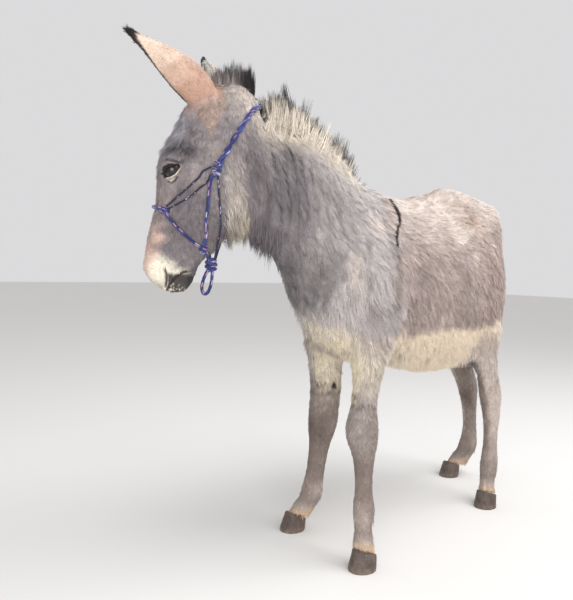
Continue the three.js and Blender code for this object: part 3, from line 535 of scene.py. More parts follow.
    # pale hair under the mane, dark stripes over the withers and along the back
    off, far = nearLine(p, lines["crest"])
    add("manePale", 0.8 * fall(0.028, 0.080, off + 0.01 * streak)
        * np.maximum(w["neck"], h * hill(far, 0, 0.1)))
    back = fall(4, 10, np.abs(x) + 4 * fine) * ramp(0.35, 0.7, n[:, 2]) * w["trunk"]
    add("dark", 0.7 * back * ramp(80, 140, y) * (1 - 0.6 * hill(y, 400, 90)))
    add("stripe", 0.8 * w["tail"] * fall(4, 12, np.abs(x) + 3 * fine))
    gap, share = nearLine(np.column_stack([np.abs(x), y, z]), lines["stripe"])
    cross = fall(1, 4, gap + 2 * fine) * fall(0.7, 0.85, share) * ramp(0.15, 0.25, share)
    add("stripe", 0.7 * cross)
    shade = 1 + 0.07 * wide + 0.05 * fine + 0.20 * streak * (0.8 * w["neck"] + 0.9 * w["trunk"] + 0.3 * h)
    shade += curl * h * (0.10 * fall(340, 400, s) + 0.14 * fall(150, 190, s) * ramp(20, 60, t))
    c *= shade[:, None]
    return np.maximum(c / np.maximum(c.max(axis=1) / 0.95, 1)[:, None], 0.005)


def wake(obj):  # the one selected and active piece
    bpy.ops.object.select_all(action="DESELECT")
    obj.select_set(True)
    bpy.context.view_layer.objects.active = obj


def openMesh(obj):  # into edit mode with every part of it selected
    wake(obj)
    bpy.ops.object.mode_set(mode="EDIT")
    bpy.ops.mesh.select_all(action="SELECT")


def closeMesh():
    bpy.ops.object.mode_set(mode="OBJECT")


def joined(pieces, name):
    wake(pieces[0])
    for piece in pieces:
        piece.select_set(True)
    bpy.ops.object.join()
    pieces[0].name = name
    return pieces[0]


def nodeCopy(node, name):
    copy = bpy.data.objects.new(name, nodes[node].data.copy())
    bpy.context.scene.collection.objects.link(copy)
    return copy


def read(items, key, kind=np.float32, width=1):
    values = np.empty(len(items) * width, kind)
    items.foreach_get(key, values)
    return values


def corners(obj, key="co"):
    return read(obj.data.vertices, key, width=3).reshape(-1, 3).astype(float)


def cornerNormals(obj):
    return corners(obj, "normal")


def moveCorners(obj, co):
    obj.data.vertices.foreach_set("co", np.asarray(co, np.float32).ravel())
    obj.data.update()


def weigh(obj, name, weights):
    group = obj.vertex_groups.new(name=name)
    levels = np.round(np.clip(weights, 0, 1) * 12).astype(int)
    for level in range(1, 13):
        group.add(np.nonzero(levels == level)[0].tolist(), level / 12, "REPLACE")


def finishModifier(obj, kind, **settings):
    modifier = obj.modifiers.new(kind.title(), kind)
    for key, value in settings.items():
        setattr(modifier, key, value)
    wake(obj)
    bpy.ops.object.modifier_apply(modifier=modifier.name)


def paint(obj, colours):
    attribute = obj.data.attributes.new("coat", "FLOAT_COLOR", "POINT")
    attribute.data.foreach_set("color", np.insert(colours, 3, 1, axis=1).astype(np.float32).ravel())


def few(count):
    return count // 1


def newPiece(name, points, faces):
    mesh = bpy.data.meshes.new(name)
    mesh.from_pydata(np.asarray(points).tolist(), [], np.asarray(faces).tolist())
    piece = bpy.data.objects.new(name, mesh)
    bpy.context.scene.collection.objects.link(piece)
    mesh.polygons.foreach_set("use_smooth", np.ones(len(mesh.polygons), bool))
    return piece


skinSizes = {"grid": 0.0046, "bodyShare": 0.42, "quickGrid": 0.009, "merge": 0.00002, "grow": 0.0006,
             "crest": 0.034, "top": 0.026, "folds": 0.006, "dark": 0.8}
fleshNodes = ["trunk", "neck", "head", "tail", "ear_left", "ear_right", "foreleg_left", "foreleg_right",
              "hindleg_left", "hindleg_right"]


def filler(name, line, radius):  # a row of balls that fills a gap in the flesh
    made = []
    for k in range(len(line) - 1):
        a, b = Vector(line[k]), Vector(line[k + 1])
        for f in np.linspace(0, 1, 6)[:-1]:
            bpy.ops.mesh.primitive_uv_sphere_add(segments=16, ring_count=10, radius=radius,
                                                 location=a.lerp(b, f))
            made.append(bpy.context.object)
    return joined(made[::-1], name)


def makeSkin():
    copies = []
    for name in fleshNodes + ["eye_left", "eye_right"]:
        copies.append(nodeCopy(name, "copy"))
        openMesh(copies[-1])
        bpy.ops.mesh.remove_doubles(threshold=skinSizes["merge"])
        if name.startswith("ear"):
            bpy.ops.mesh.subdivide(number_cuts=2, smoothness=1.0)
        bpy.ops.transform.shrink_fatten(value=skinSizes["grow"])
        closeMesh()
    crest = [v + np.array([0, 0.004, 0.006]) for v in lines["crest"]]
    copies.append(filler("crest", crest, skinSizes["crest"]))
    top = [crownPlace(-24, -44, 0), crownPlace(20, -30, 0), crownPlace(66, -34, 0)]
    copies.append(filler("top", top, skinSizes["top"]))
    skin = joined(copies, "skin")
    skin.data.materials.clear()
    grid = skinSizes["grid"]
    finishModifier(skin, "REMESH", mode="VOXEL", voxel_size=grid, use_smooth_shade=True)
    print("skin grid:", len(skin.data.vertices))
    w = parts(corners(skin))
    for name, weights, iterations in (("broad", w["trunk"] + w["neck"] + 0.3 * w["tail"], 60),
                                      ("legs", w["legs"] + w["head"], 10),
                                      ("every", 1 - 0.55 * w["ears"], 4)):
        weigh(skin, name, weights)
        finishModifier(skin, "SMOOTH", factor=0.5, iterations=iterations, vertex_group=name)
    co, normal = corners(skin), cornerNormals(skin)
    _, depth, _, w = coatSizes(co, normal)
    depth = depth + skinSizes["folds"] * neckFolds(co, w)
    rear = w["q"][:, 1]
    hump = 0.021 * hill(rear, 408, 62) - 0.006 * hill(rear, 318, 40) - 0.010 * hill(rear, 346, 24)
    depth = np.maximum(depth + hump * ramp(0.3, 0.9, normal[:, 2]) * w["trunk"], 0.0004)
    moveCorners(skin, co - normal * depth[:, None])
    w = parts(corners(skin))
    weigh(skin, "thin", 1 - w["head"] - w["ears"])
    finishModifier(skin, "DECIMATE", ratio=skinSizes["bodyShare"], vertex_group="thin",
                   vertex_group_factor=1.0)
    print("skin thinned:", len(skin.data.polygons))
    return skin


def carveEyes(co):
    for side in (1, -1):
        a, b, k = eyeCoords(co, side)
        near = (np.hypot(a, b) < 48) & (k > 4) & (k < 60)
        a, b, k = a[near], b[near], k[near]
        gap, c, scale = lidGap(a, b)
        ridge = 3.8 * hill(b, 25, 7) * hill(a, -3, 22) - 2.0 * hill(b, 19, 3.5) * hill(a, -10, 12)
        crease = -1.2 * hill(gap, 6.5, 1.5) * ramp(0, 6, c) - 0.8 * hill(gap, 5, 1.4) * fall(-6, 0, c)
        tear = -1.6 * hill(a, 27, 7) * hill(b, -5, 4)
        k = k + ridge + crease + tear
        scale = np.where(np.abs(gap) < 0.75, scale, 1.0)
        a, b = a * scale, c * scale - lidSizes["low"]
        hug = fall(0, 13, gap)
        wanted = 1000 * lidSizes["skin"] + 0.8 * hill(gap, 2.5, 2)
        wanted += 1.5 * hill(gap, 4, 2.5) * ramp(-2, 4, c)
        flat = np.hypot(a, b)
        onBall = np.sqrt(np.maximum(wanted ** 2 - flat ** 2, 4.0))
        k = np.where(flat < wanted - 0.5, k * (1 - hug) + onBall * hug, k)
        k = np.maximum(k, np.where(gap < 12, np.sqrt(np.maximum(wanted ** 2 - flat ** 2, 0)), -1e9))
        k = np.where(gap < -0.75, np.sqrt(np.maximum(lidSizes["hollow"] ** 2 - flat ** 2, 9.0)), k)
        co[near] = eyePlace(side, a, b, k)
    return co


def carveMuzzle(co, normal):  # nostrils with a raised rim, the line of the mouth and the chin
    s, t, side = headCoords(co)
    slit = faceLine("nostril", s, t)[0]
    lips = faceLine("mouth", s, t)[0]
    push = (7.0 * hill(slit, 0, 3) - 2.2 * hill(slit, 8, 3.5)) * ramp(14, 30, np.abs(side))
    push += 3.2 * hill(lips, 0, 2.4) - 0.8 * hill(lips, 7, 4)
    push += 1.6 * hill(s, 452, 14) * hill(t, -62, 10)
    push *= ramp(380, 400, s)
    return co - normal * push[:, None] / 1000


def faceOut(obj):
    openMesh(obj)
    bpy.ops.mesh.normals_make_consistent(inside=False)
    closeMesh()


def refine(obj, chosen, cuts):  # finer grid where the chosen corners are
    openMesh(obj)
    bpy.ops.mesh.select_all(action="DESELECT")
    closeMesh()
    loops = read(obj.data.loops, "vertex_index", np.int32)
    starts = read(obj.data.polygons, "loop_start", np.int32)
    picked = np.minimum.reduceat(chosen[loops].astype(np.int8), starts).astype(bool)
    obj.data.polygons.foreach_set("select", picked)
    bpy.ops.object.mode_set(mode="EDIT")
    bpy.ops.mesh.select_mode(type="FACE")
    bpy.ops.mesh.subdivide(number_cuts=cuts)
    closeMesh()


def eyeGap(p):  # distance to the nearer eye, in millimetres
    return np.minimum(*[np.linalg.norm(p - eyeFrame(hand)[0], axis=1) for hand in (1, -1)]) * 1000


skin = makeSkin()
s, t, side = headCoords(corners(skin))
refine(skin, (s > 385) & (s < 500) & (np.abs(side) < 80) & (t > -95), 1)
refine(skin, eyeGap(corners(skin)) < 40, 3)
moveCorners(skin, carveMuzzle(corners(skin), cornerNormals(skin)))
moveCorners(skin, carveEyes(corners(skin)))
openMesh(skin)
bpy.ops.mesh.quads_convert_to_tris(quad_method="BEAUTY", ngon_method="BEAUTY")
closeMesh()
faceOut(skin)
skinTree = BVHTree.FromPolygons(corners(skin).tolist(), [list(f.vertices) for f in skin.data.polygons])

# The dark stripe over the left shoulder, laid on the skin; the right one mirrors it.
stripeAt = [[0, 160, 1002], [40, 152, 995], [65, 145, 981], [95, 142, 952], [111, 137, 926],
            [128, 112, 900], [133, 92, 880], [146, 80, 845], [156, 74, 814], [158, 74, 780]]
stripeAt = alongTable(stripeAt, np.linspace(0, 1, 40))
for _ in range(6):
    stripeAt[1:-1] = (stripeAt[:-2] + 2 * stripeAt[1:-1] + stripeAt[2:]) / 4
stripeAt = [skinTree.find_nearest(Vector(place(*spot)))[0] for spot in stripeAt]
lines["stripe"] = np.array([groundCoords(np.array(spot)) for spot in stripeAt])
# The skin is painted 0.8 as dark as the coat's colours: painted shade beneath the fur.
paint(skin, markingsAndPaintedLight(corners(skin), cornerNormals(skin)) * skinSizes["dark"])
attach(skin, "root")
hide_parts(*fleshNodes)
print("skin:", len(skin.data.polygons), "faces")

dice = np.random.default_rng(7)


# One mesh of closed tapering hairs: spine is hairs by points by 3, its last point the tip. Each hair
# takes its place in the OFBake UV map from spot, the place of its root.
def hairMesh(name, spine, normal, width, colours, spot, flat=0.45, soft=0.7):
    count, points = spine.shape[:2]
    rings = points - 1
    run = unit(np.gradient(spine, axis=1))[:, :rings]
    side = unit(np.cross(run, normal[:, None, :]))
    out = np.cross(side, run)
    taper = 1 - (np.arange(rings) / points) ** 1.6
    half = (0.5 * width[:, None] * taper)[..., None]
    at = spine[:, :rings]
    ring = np.stack([at - side * half, at + side * half, at + out * half * 2 * flat], axis=2)
    each = rings * 3 + 1
    verts = np.concatenate([ring.reshape(count, rings * 3, 3), spine[:, -1:]], axis=1)
    own = np.stack([out * 0.4 - side, out * 0.4 + side, out], axis=2).reshape(count, rings * 3, 3)
    own = np.concatenate([own, out[:, -1:] * 0.7 + run[:, -1:] * 0.5], axis=1)
    shown = unit(soft * normal[:, None, :] + (1 - soft) * unit(own))
    faces = [[0, 2, 1]]
    for r in range(rings - 1):
        for j in range(3):
            a, b = r * 3 + j, r * 3 + (j + 1) % 3
            faces += [[a, b, b + 3], [a, b + 3, a + 3]]
    last = (rings - 1) * 3
    faces += [[last + j, last + (j + 1) % 3, each - 1] for j in range(3)]
    faces = np.array(faces)
    first = verts[0] - verts[0, 0]
    tri = first[faces]
    if np.sum(tri[:, 0] * np.cross(tri[:, 1], tri[:, 2])) < 0:
        faces = faces[:, ::-1]
    allFaces = (faces[None] + (np.arange(count) * each)[:, None, None]).reshape(-1, 3)
    mesh = bpy.data.meshes.new(name)
    mesh.vertices.add(count * each)
    mesh.vertices.foreach_set("co", verts.astype(np.float32).ravel())
    mesh.loops.add(len(allFaces) * 3)
    mesh.loops.foreach_set("vertex_index", allFaces.astype(np.int32).ravel())
    mesh.polygons.add(len(allFaces))
    mesh.polygons.foreach_set("loop_start", np.arange(len(allFaces), dtype=np.int32) * 3)
    mesh.polygons.foreach_set("use_smooth", np.ones(len(allFaces), bool))
    mesh.update(calc_edges=True)
    piece = bpy.data.objects.new(name, mesh)
    bpy.context.scene.collection.objects.link(piece)
    rows = np.repeat(np.arange(points), [3] * rings + [1])
    paint(piece, colours[:, rows].reshape(-1, 3))
    across = np.array([-1, 1, 0] * rings + [0])
    offset = np.column_stack([across * 0.0014, (rows / rings - 0.5) * 0.003])
    flatAt = (spot[:, None] + offset[None]).reshape(-1, 2)
    layer = mesh.uv_layers.new(name="OFBake")
    layer.data.foreach_set("uv", flatAt[allFaces.ravel()].astype(np.float32).ravel())
    mesh.normals_split_custom_set_from_vertices(shown.reshape(-1, 3))
    return piece


# The skin's triangles: corners, normals and areas.
def skinTriangles():
    index = read(skin.data.loops, "vertex_index", np.int32).reshape(-1, 3)
    co, normal = corners(skin), cornerNormals(skin)
    tri = co[index]
    area = 0.5 * np.linalg.norm(np.cross(tri[:, 1] - tri[:, 0], tri[:, 2] - tri[:, 0]), axis=1)
    return co, normal, index, area


# Lays the given skin triangles out flat in the unit square.
def unwrap(co, index):
    used, small = np.unique(index, return_inverse=True)
    piece = newPiece("flat", co[used], small.reshape(-1, 3))
    openMesh(piece)
    bpy.ops.uv.smart_project(angle_limit=math.radians(66), island_margin=0.004)
    closeMesh()
    flat = read(piece.data.uv_layers[0].data, "uv", width=2)
    bpy.data.objects.remove(piece)
    return flat.reshape(-1, 3, 2).astype(float)


# Picks triangles by the chance of each, and a place in each as shares of its corners.
def pickPlaces(count, chance):
    total = np.cumsum(chance)
    pick = np.minimum(np.searchsorted(total / total[-1], dice.random(count)), len(total) - 1)
    b = dice.random((count, 2))
    b = np.where((b.sum(axis=1) > 1)[:, None], 1 - b, b)
    return pick, np.column_stack([1 - b.sum(axis=1), b])


def mix(shares, values):
    return np.einsum("ij,ijk->ik", shares, values)


# Nearest of a thinned set of roots for every root, as the heart of its lock.
def locks(root, spacing, area):
    count = max(4, int(area / spacing ** 2))
    chosen = dice.choice(len(root), min(count, len(root)), replace=False)
    tree = KDTree(len(chosen))
    for k, which in enumerate(chosen):
        tree.insert(root[which], k)
    tree.balance()
    near = np.array([tree.find(p)[1] for p in root])
    return chosen[near], near


# Hairs and pieces of each part, width of a hair and of a lock, and the axis the pieces are cut along.
furSizes = {
    "trunk": {"number": 134000, "pieces": 4, "width": 0.0018, "lock": 0.0115, "axis": 1},
    "neck": {"number": 60000, "pieces": 2, "width": 0.0017, "lock": 0.012, "axis": 0},
    "head": {"number": 60000, "pieces": 2, "width": 0.0014, "lock": 0.008, "axis": 0},
    "legs": {"number": 46000, "pieces": 1, "width": 0.0019, "lock": 0.009, "axis": 0},
    "ears": {"number": 14000, "pieces": 1, "width": 0.0013, "lock": 0.008, "axis": 0},
    "tail": {"number": 3500, "pieces": 1, "width": 0.0022, "lock": 0.010, "axis": 0},
}


def bare(p):  # where no fur grows: inside the lids, nostrils, lips and hooves
    s, t, side = headCoords(p)
    grown = np.ones(len(p))
    for hand in (1, -1):
        a, b, k = eyeCoords(p, hand)
        near = (a ** 2 + b ** 2 + k ** 2 < 40 ** 2) & (k > 2)
        grown = np.where(near, grown * ramp(0.8, 2.2, lidGap(a, b)[0]), grown)
    slit = faceLine("nostril", s, t)[0]
    snout = ramp(380, 395, s)
    grown = np.where((snout > 0) & (np.abs(side) > 14), grown * ramp(3, 5, slit), grown)
    grown = grown * np.where(snout > 0, ramp(1.5, 4, faceLine("mouth", s, t)[0]), 1)
    return grown * ramp(48, 54, groundCoords(p)[:, 2])


def growCoat():
    co, normal, index, area = skinTriangles()
    middle = co[index].mean(axis=1)
    w = parts(middle)
    region = np.argmax(np.stack([w[name] for name in furSizes]), axis=0)
    facing = unit(np.cross(co[index[:, 1]] - co[index[:, 0]], co[index[:, 2]] - co[index[:, 0]]))
    live = bare(middle) * ((facing[:, 2] > -0.6) | (groundCoords(middle)[:, 2] > 90))
    total = 0
    for which, (name, sizes) in enumerate(furSizes.items()):
        mine = np.nonzero((region == which) & (live > 0.02))[0]
        mine = mine[np.argsort(middle[mine, sizes["axis"]])]
        share = np.cumsum(area[mine]) / area[mine].sum()
        for part in range(sizes["pieces"]):
            some = mine[(share > part / sizes["pieces"]) & (share <= (part + 1) / sizes["pieces"])]
            flat = unwrap(co, index[some])
            number = few(sizes["number"] // sizes["pieces"])
            chance = area[some] * live[some]
            if name == "head":
                chance = chance * (1 + 1.2 * ramp(300, 400, headCoords(middle[some])[0]))
            pick, shares = pickPlaces(number, chance)
            tri = index[some][pick]
            root, n, spot = mix(shares, co[tri]), unit(mix(shares, normal[tri])), mix(shares, flat[pick])
            keep = dice.random(number) < bare(root)
            root, n, spot = root[keep], n[keep], spot[keep]
            piece = layFur(f"coat_{name}_{part + 1}" if sizes["pieces"] > 1 else f"coat_{name}",
                           root, n, spot, sizes, area[some].sum())
            total += len(piece.data.polygons)
    print("coat:", total, "faces")


def layFur(name, root, n, spot, sizes, area):
    count = len(root)
    length, _, lift, w = coatSizes(root, n)
    lie = coatLie(root, n, w)
    heart, lock = locks(root, sizes["lock"], area)
    lockDice = dice.normal(size=(lock.max() + 1, 3))[lock]
    turn = 0.13 * dice.normal(size=count) + 0.10 * lockDice[:, 0]
    lie = unit(lie * np.cos(turn)[:, None] + np.cross(n, lie) * np.sin(turn)[:, None])
    near = ramp(19, 45, eyeGap(root))
    length = length * (0.85 + 0.3 * dice.random(count)) * (1 + 0.14 * lockDice[:, 1]) * (0.45 + 0.55 * near)
    rise = lift * (1 + 0.3 * lockDice[:, 2] + 0.15 * dice.normal(size=count)) * (0.5 + 0.5 * near)
    rise = np.clip(rise, 0.05, 0.8)
    pull = flatten(root[heart] - root, n)
    tip = root + lie * (0.95 * length)[:, None] + n * (0.58 * rise * length)[:, None] + 0.5 * pull
    spine = np.stack([root - n * 0.0008, tip], axis=1)
    colour = markingsAndPaintedLight(root + lie * 0.5 * length[:, None], n)
    tone = (1 + 0.13 * lockDice[:, 1] + 0.08 * dice.normal(size=count))[:, None, None]
    shade = np.array([0.62, 1.14])[None, :, None]
    shade = shade + (1 - shade) * 0.7 * ramp(0.62, 0.82, colour.mean(axis=1))[:, None, None]
    colours = colour[:, None] * shade * tone
    colours = np.maximum(colours / np.maximum(colours.max(axis=2, keepdims=True) / 0.95, 1), 0.004)
    width = sizes["width"] * (0.75 + 0.5 * dice.random(count)) * np.clip(length / 0.012, 0.75, 1.1)
    piece = hairMesh(name, spine, n, width, colours, spot)
    piece.data.materials.append(furStuff)
    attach(piece, "root")
    return piece


# grain: the scale of the noise, and how far it lightens and darkens the colour.
def makeStuff(name, specular, roughness, grain=None, sheen=0.0, coat=0.0, bump=0.0):
    stuff = bpy.data.materials.new(name)
    stuff.use_nodes = True
    tree = stuff.node_tree
    shader = tree.nodes["Principled BSDF"]
    for key, value in (("Specular IOR Level", specular), ("Roughness", roughness), ("Sheen Weight", sheen),
                       ("Coat Weight", coat)):
        shader.inputs[key].default_value = value
    source = tree.nodes.new("ShaderNodeAttribute")
    source.attribute_name = "coat"
    colour = source.outputs["Color"]
    if grain:
        where = tree.nodes.new("ShaderNodeTexCoord")
        noise = tree.nodes.new("ShaderNodeTexNoise")
        noise.inputs["Scale"].default_value = grain[0]
        noise.inputs["Detail"].default_value = 4
        tree.links.new(where.outputs["Object"], noise.inputs["Vector"])
        spread = tree.nodes.new("ShaderNodeMapRange")
        for key, value in (("From Min", 0.3), ("From Max", 0.7), ("To Min", 1 - grain[1]),
                           ("To Max", 1 + grain[1])):
            spread.inputs[key].default_value = value
        tree.links.new(noise.outputs["Fac"], spread.inputs["Value"])
        scaled = tree.nodes.new("ShaderNodeVectorMath")
        scaled.operation = "SCALE"
        tree.links.new(colour, scaled.inputs[0])
        tree.links.new(spread.outputs["Result"], scaled.inputs["Scale"])
        colour = scaled.outputs["Vector"]
        if bump:
            relief = tree.nodes.new("ShaderNodeBump")
            relief.inputs["Strength"].default_value = 0.6
            relief.inputs["Distance"].default_value = bump
            tree.links.new(noise.outputs["Fac"], relief.inputs["Height"])
            tree.links.new(relief.outputs["Normal"], shader.inputs["Normal"])
    tree.links.new(colour, shader.inputs["Base Color"])
    return stuff


furStuff = makeStuff("furStuff", 0.25, 0.82, grain=(160, 0.12), sheen=0.15)
skinStuff = makeStuff("skinStuff", 0.3, 0.75, grain=(420, 0.16), bump=0.0006)
hairStuff = makeStuff("hairStuff", 0.35, 0.6, grain=(240, 0.15), sheen=0.1)
hornStuff = makeStuff("hornStuff", 0.35, 0.62, grain=(190, 0.22), bump=0.0005)
ropeStuff = makeStuff("ropeStuff", 0.3, 0.7, grain=(900, 0.12), sheen=0.2, bump=0.0003)
eyeStuff = makeStuff("eyeStuff", 0.45, 0.05, coat=0.25)
lidStuff = makeStuff("lidStuff", 0.6, 0.35, grain=(600, 0.1))
skin.data.materials.append(skinStuff)
growCoat()


# Hairs from given roots to given tips, bowed a little and gathered in locks.
def growLong(name, root, tip, out, width, rootColour, tipColour, rings=4, bow=0.08, lock=0.02,
             gather=0.45, ragged=0.0, fade=1.0, soft=0.35):
    count = len(root)
    reach = np.linalg.norm(tip - root, axis=1)
    heart, group = locks(root, lock, max(np.ptp(root, axis=0).max() * lock * 4, lock ** 2 * count / 9))
    tip = root + (tip - root) * (1 + ragged * dice.normal(size=group.max() + 1)[group])[:, None]
    pull = (tip[heart] - tip) * gather
    bent = (dice.normal(size=(group.max() + 1, 3))[group] * bow * 0.5
            + dice.normal(size=(count, 3)) * bow * 0.35)
    u = np.linspace(0, 1, rings + 1)
    spine = root[:, None] + (tip - root)[:, None] * u[None, :, None]
    spine = spine + pull[:, None] * (u ** 2)[None, :, None]
    spine = spine + (bent * reach[:, None])[:, None] * (4 * u * (1 - u) + 0.6 * u ** 2)[None, :, None]
    tone = np.clip(1 + 0.18 * dice.normal(size=count), 0.5, 1.6)[:, None, None]
    share = (u ** fade)[None, :, None]
    colours = np.clip((rootColour[:, None] * (1 - share) + tipColour[:, None] * share) * tone, 0.003, 0.95)
    low, high = root.min(axis=0), root.max(axis=0)
    wide = np.argsort(-(high - low))[:2]
    spot = 0.03 + 0.94 * (root[:, wide] - low[wide]) / np.maximum(high - low, 1e-6)[wide]
    piece = hairMesh(name, spine, out, width, colours, spot, flat=0.5, soft=soft)
    piece.data.materials.append(hairStuff)
    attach(piece, "root")
    return piece


def blendHue(first, second, share):
    share = np.clip(share, 0, 1)[:, None]
    return hues[first] * (1 - share) + hues[second] * share


# The line of the mane: back and up of the roots, back and up of the tips, and half its width.
maneSizes = {"hairs": 6200, "width": 0.0021,
             "line": [[-300, 1122, -306, 1150, 9], [-276, 1118, -290, 1158, 12],
                      [-256, 1120, -274, 1184, 18], [-230, 1124, -250, 1214, 22],
                      [-190, 1122, -216, 1218, 24], [-150, 1108, -172, 1206, 24],
                      [-110, 1090, -128, 1180, 24], [-50, 1050, -60, 1138, 23],
                      [10, 1004, 10, 1090, 19], [50, 978, 62, 1030, 12], [84, 968, 100, 992, 6]]}


def makeMane():
    count = few(maneSizes["hairs"])
    share = np.sort(dice.random(count))
    side = np.clip(dice.normal(size=count) * 0.60, -1.25, 1.25)
    back, up, tipBack, tipUp, half = alongTable(maneSizes["line"], share).T
    drop = 6 + (6 + 24 * ramp(-290, -250, back)) * side ** 2
    root = np.column_stack([-3 + 1.1 * half * side, back, up - drop]) / 1000
    root += body["stand"]
    tall = 1.08 - 0.42 * ramp(0.1, 0.8, np.abs(side))
    jag = 0.92 + 0.15 * cloud(np.column_stack([back / 1000, side * 0.01, side * 0]), 0.012, 4.0)
    tall = tall * jag * (0.84 + 0.18 * dice.random(count))
    lean = cloud(np.column_stack([back / 1000, side * 0.012, side * 0]), 0.02, 6.0)
    slant = 10 + 34 * ramp(-220, -80, back) + 18 * np.abs(side) + 16 * lean
    slant += 8 * dice.normal(size=count)
    rise = np.column_stack([12 * side + 7 * dice.normal(size=count), tipBack - back + slant,
                            tipUp - up + drop]) * tall[:, None]
    tip = root + rise / 1000
    out = unit(np.column_stack([side * 1.3, 0.15 + 0 * side, 0.55 + 0 * side]))
    front = hill(back, -248, 22)
    pale = ramp(0.28, 0.56, np.abs(side) + 0.12 * dice.normal(size=count) + 0.5 * front)
    pale = pale * ramp(-292, -280, back)
    rootColour = blendHue("stripe", "manePale", np.maximum(0.9 * pale, 0.25 * (back > -262)))
    tipColour = blendHue("stripe", "manePale", 0.95 * pale * (1 - 0.45 * front * dice.random(count)))
    piece = growLong("mane_hair", root, tip, out,
                     maneSizes["width"] * (0.8 + 0.5 * dice.random(count)), rootColour, tipColour,
                     rings=2, fade=0.8, bow=0.10, lock=0.014, gather=0.7, ragged=0.09)
    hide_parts("mane")


# The line of the forelock, ahead of the poll and up, in the same way.
forelockSizes = {"hairs": 3000, "width": 0.0019,
                 "line": [[58, -12, 88, 78, 13], [46, -8, 70, 92, 18], [34, -6, 48, 104, 20],
                          [22, -8, 24, 106, 21], [10, -12, 4, 102, 20], [0, -20, -12, 96, 17],
                          [-8, -34, -24, 80, 12]]}


def makeForelock():
    count = few(forelockSizes["hairs"])
    share = dice.random(count)
    side = np.clip(dice.normal(size=count) * 0.55, -1.1, 1.1)
    ahead, up, tipAhead, tipUp, half = alongTable(forelockSizes["line"], share).T
    level = body["poll"] + np.outer(ahead, body["headAhead"]) + np.outer(half * side, body["headLeft"])
    root = body["stand"] + (level + np.outer(up - 16 - 12 * side ** 2, [0, 0, 1])) / 1000
    tall = (0.72 + 0.28 * dice.random(count)) * (1 - 0.25 * side ** 2)
    rise = (np.outer((tipAhead - ahead) * tall, body["headAhead"])
            + np.outer(half * side * 0.5 + 4 * dice.normal(size=count), body["headLeft"])
            + np.outer((tipUp - up + 16) * tall, [0, 0, 1]))
    tip = root + rise / 1000
    out = unit(np.outer(side, body["headLeft"]) + np.array([0, 0, 0.4]) + body["headAhead"] * 0.3)
    dark = ramp(0.58, 0.68, share + 0.05 * dice.normal(size=count))
    streak = ramp(-0.15, 0.2, cloud(root * np.array([1, 1, 0]), 0.006, 3.0))
    rootColour = blendHue("jowl", "stripe", np.maximum(0.97 * dark, 0.05 + 0.25 * streak))
    tipColour = blendHue("face", "stripe", np.maximum(dark, 0.3 + 0.7 * streak))
    piece = growLong("forelock_hair", root, tip, out,
                     forelockSizes["width"] * (0.8 + 0.5 * dice.random(count)), rootColour, tipColour,
                     rings=3, fade=1.5, bow=0.06, lock=0.008, gather=0.6, ragged=0.04)
    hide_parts("forelock")


# Rings of the tuft: height, half its width and half its depth.
tailSizes = {"hairs": 1500, "width": 0.0030, "back": 812, "lowest": 388,
             "tuft": [[700, 17, 18], [660, 20, 23], [620, 25, 27], [560, 30, 32], [500, 31, 31],
                      [450, 25, 26], [410, 14, 15], [388, 3, 3]]}


def makeTail():
    count = few(tailSizes["hairs"])
    turn = dice.random(count) * 2 * math.pi
    start = 630 + 110 * dice.random(count)
    end = start - (110 + 190 * dice.random(count))
    end = np.maximum(end, tailSizes["lowest"] + 20 * dice.random(count))
    table = np.array(tailSizes["tuft"])[::-1]

    def ring(z, share):
        wide = np.interp(z, table[:, 0], table[:, 1]) * share
        deep = np.interp(z, table[:, 0], table[:, 2]) * share
        back = tailSizes["back"] + deep * np.sin(turn)
        return body["stand"] + np.column_stack([wide * np.cos(turn), back, z]) / 1000

    share = 0.35 + 0.6 * np.sqrt(dice.random(count))
    root = ring(start, 0.55 + 0 * share)
    tip = ring(end, share)
    out = unit(np.column_stack([np.cos(turn), np.sin(turn), 0 * turn]))
    shade = dice.random(count)
    piece = growLong("tail_hair", root, tip, out, tailSizes["width"] * (0.8 + 0.6 * dice.random(count)),
                     blendHue("trunk", "dark", 0.5 + 0.5 * shade), blendHue("stripe", "dark", shade),
                     rings=4, bow=0.035, lock=0.012)
    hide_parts("tail_tuft")


# Picks places on the skin by a weight for each of its triangles.
def pickRoots(count, weight):
    co, normal, index, area = skinTriangles()
    pick, shares = pickPlaces(count, area * weight(co[index].mean(axis=1), normal[index].mean(axis=1)))
    return mix(shares, co[index[pick]]), unit(mix(shares, normal[index[pick]]))


# Hair on the angle of the jaw and at the throat: how many, how long, and the colour beneath.
jowlSizes = {
    "jowl_hair": {"hairs": 1200, "long": 0.020, "low": 0.6, "under": "face"},
    "throat_hair": {"hairs": 2000, "long": 0.038, "low": 0.0, "under": "faceDark"},
}


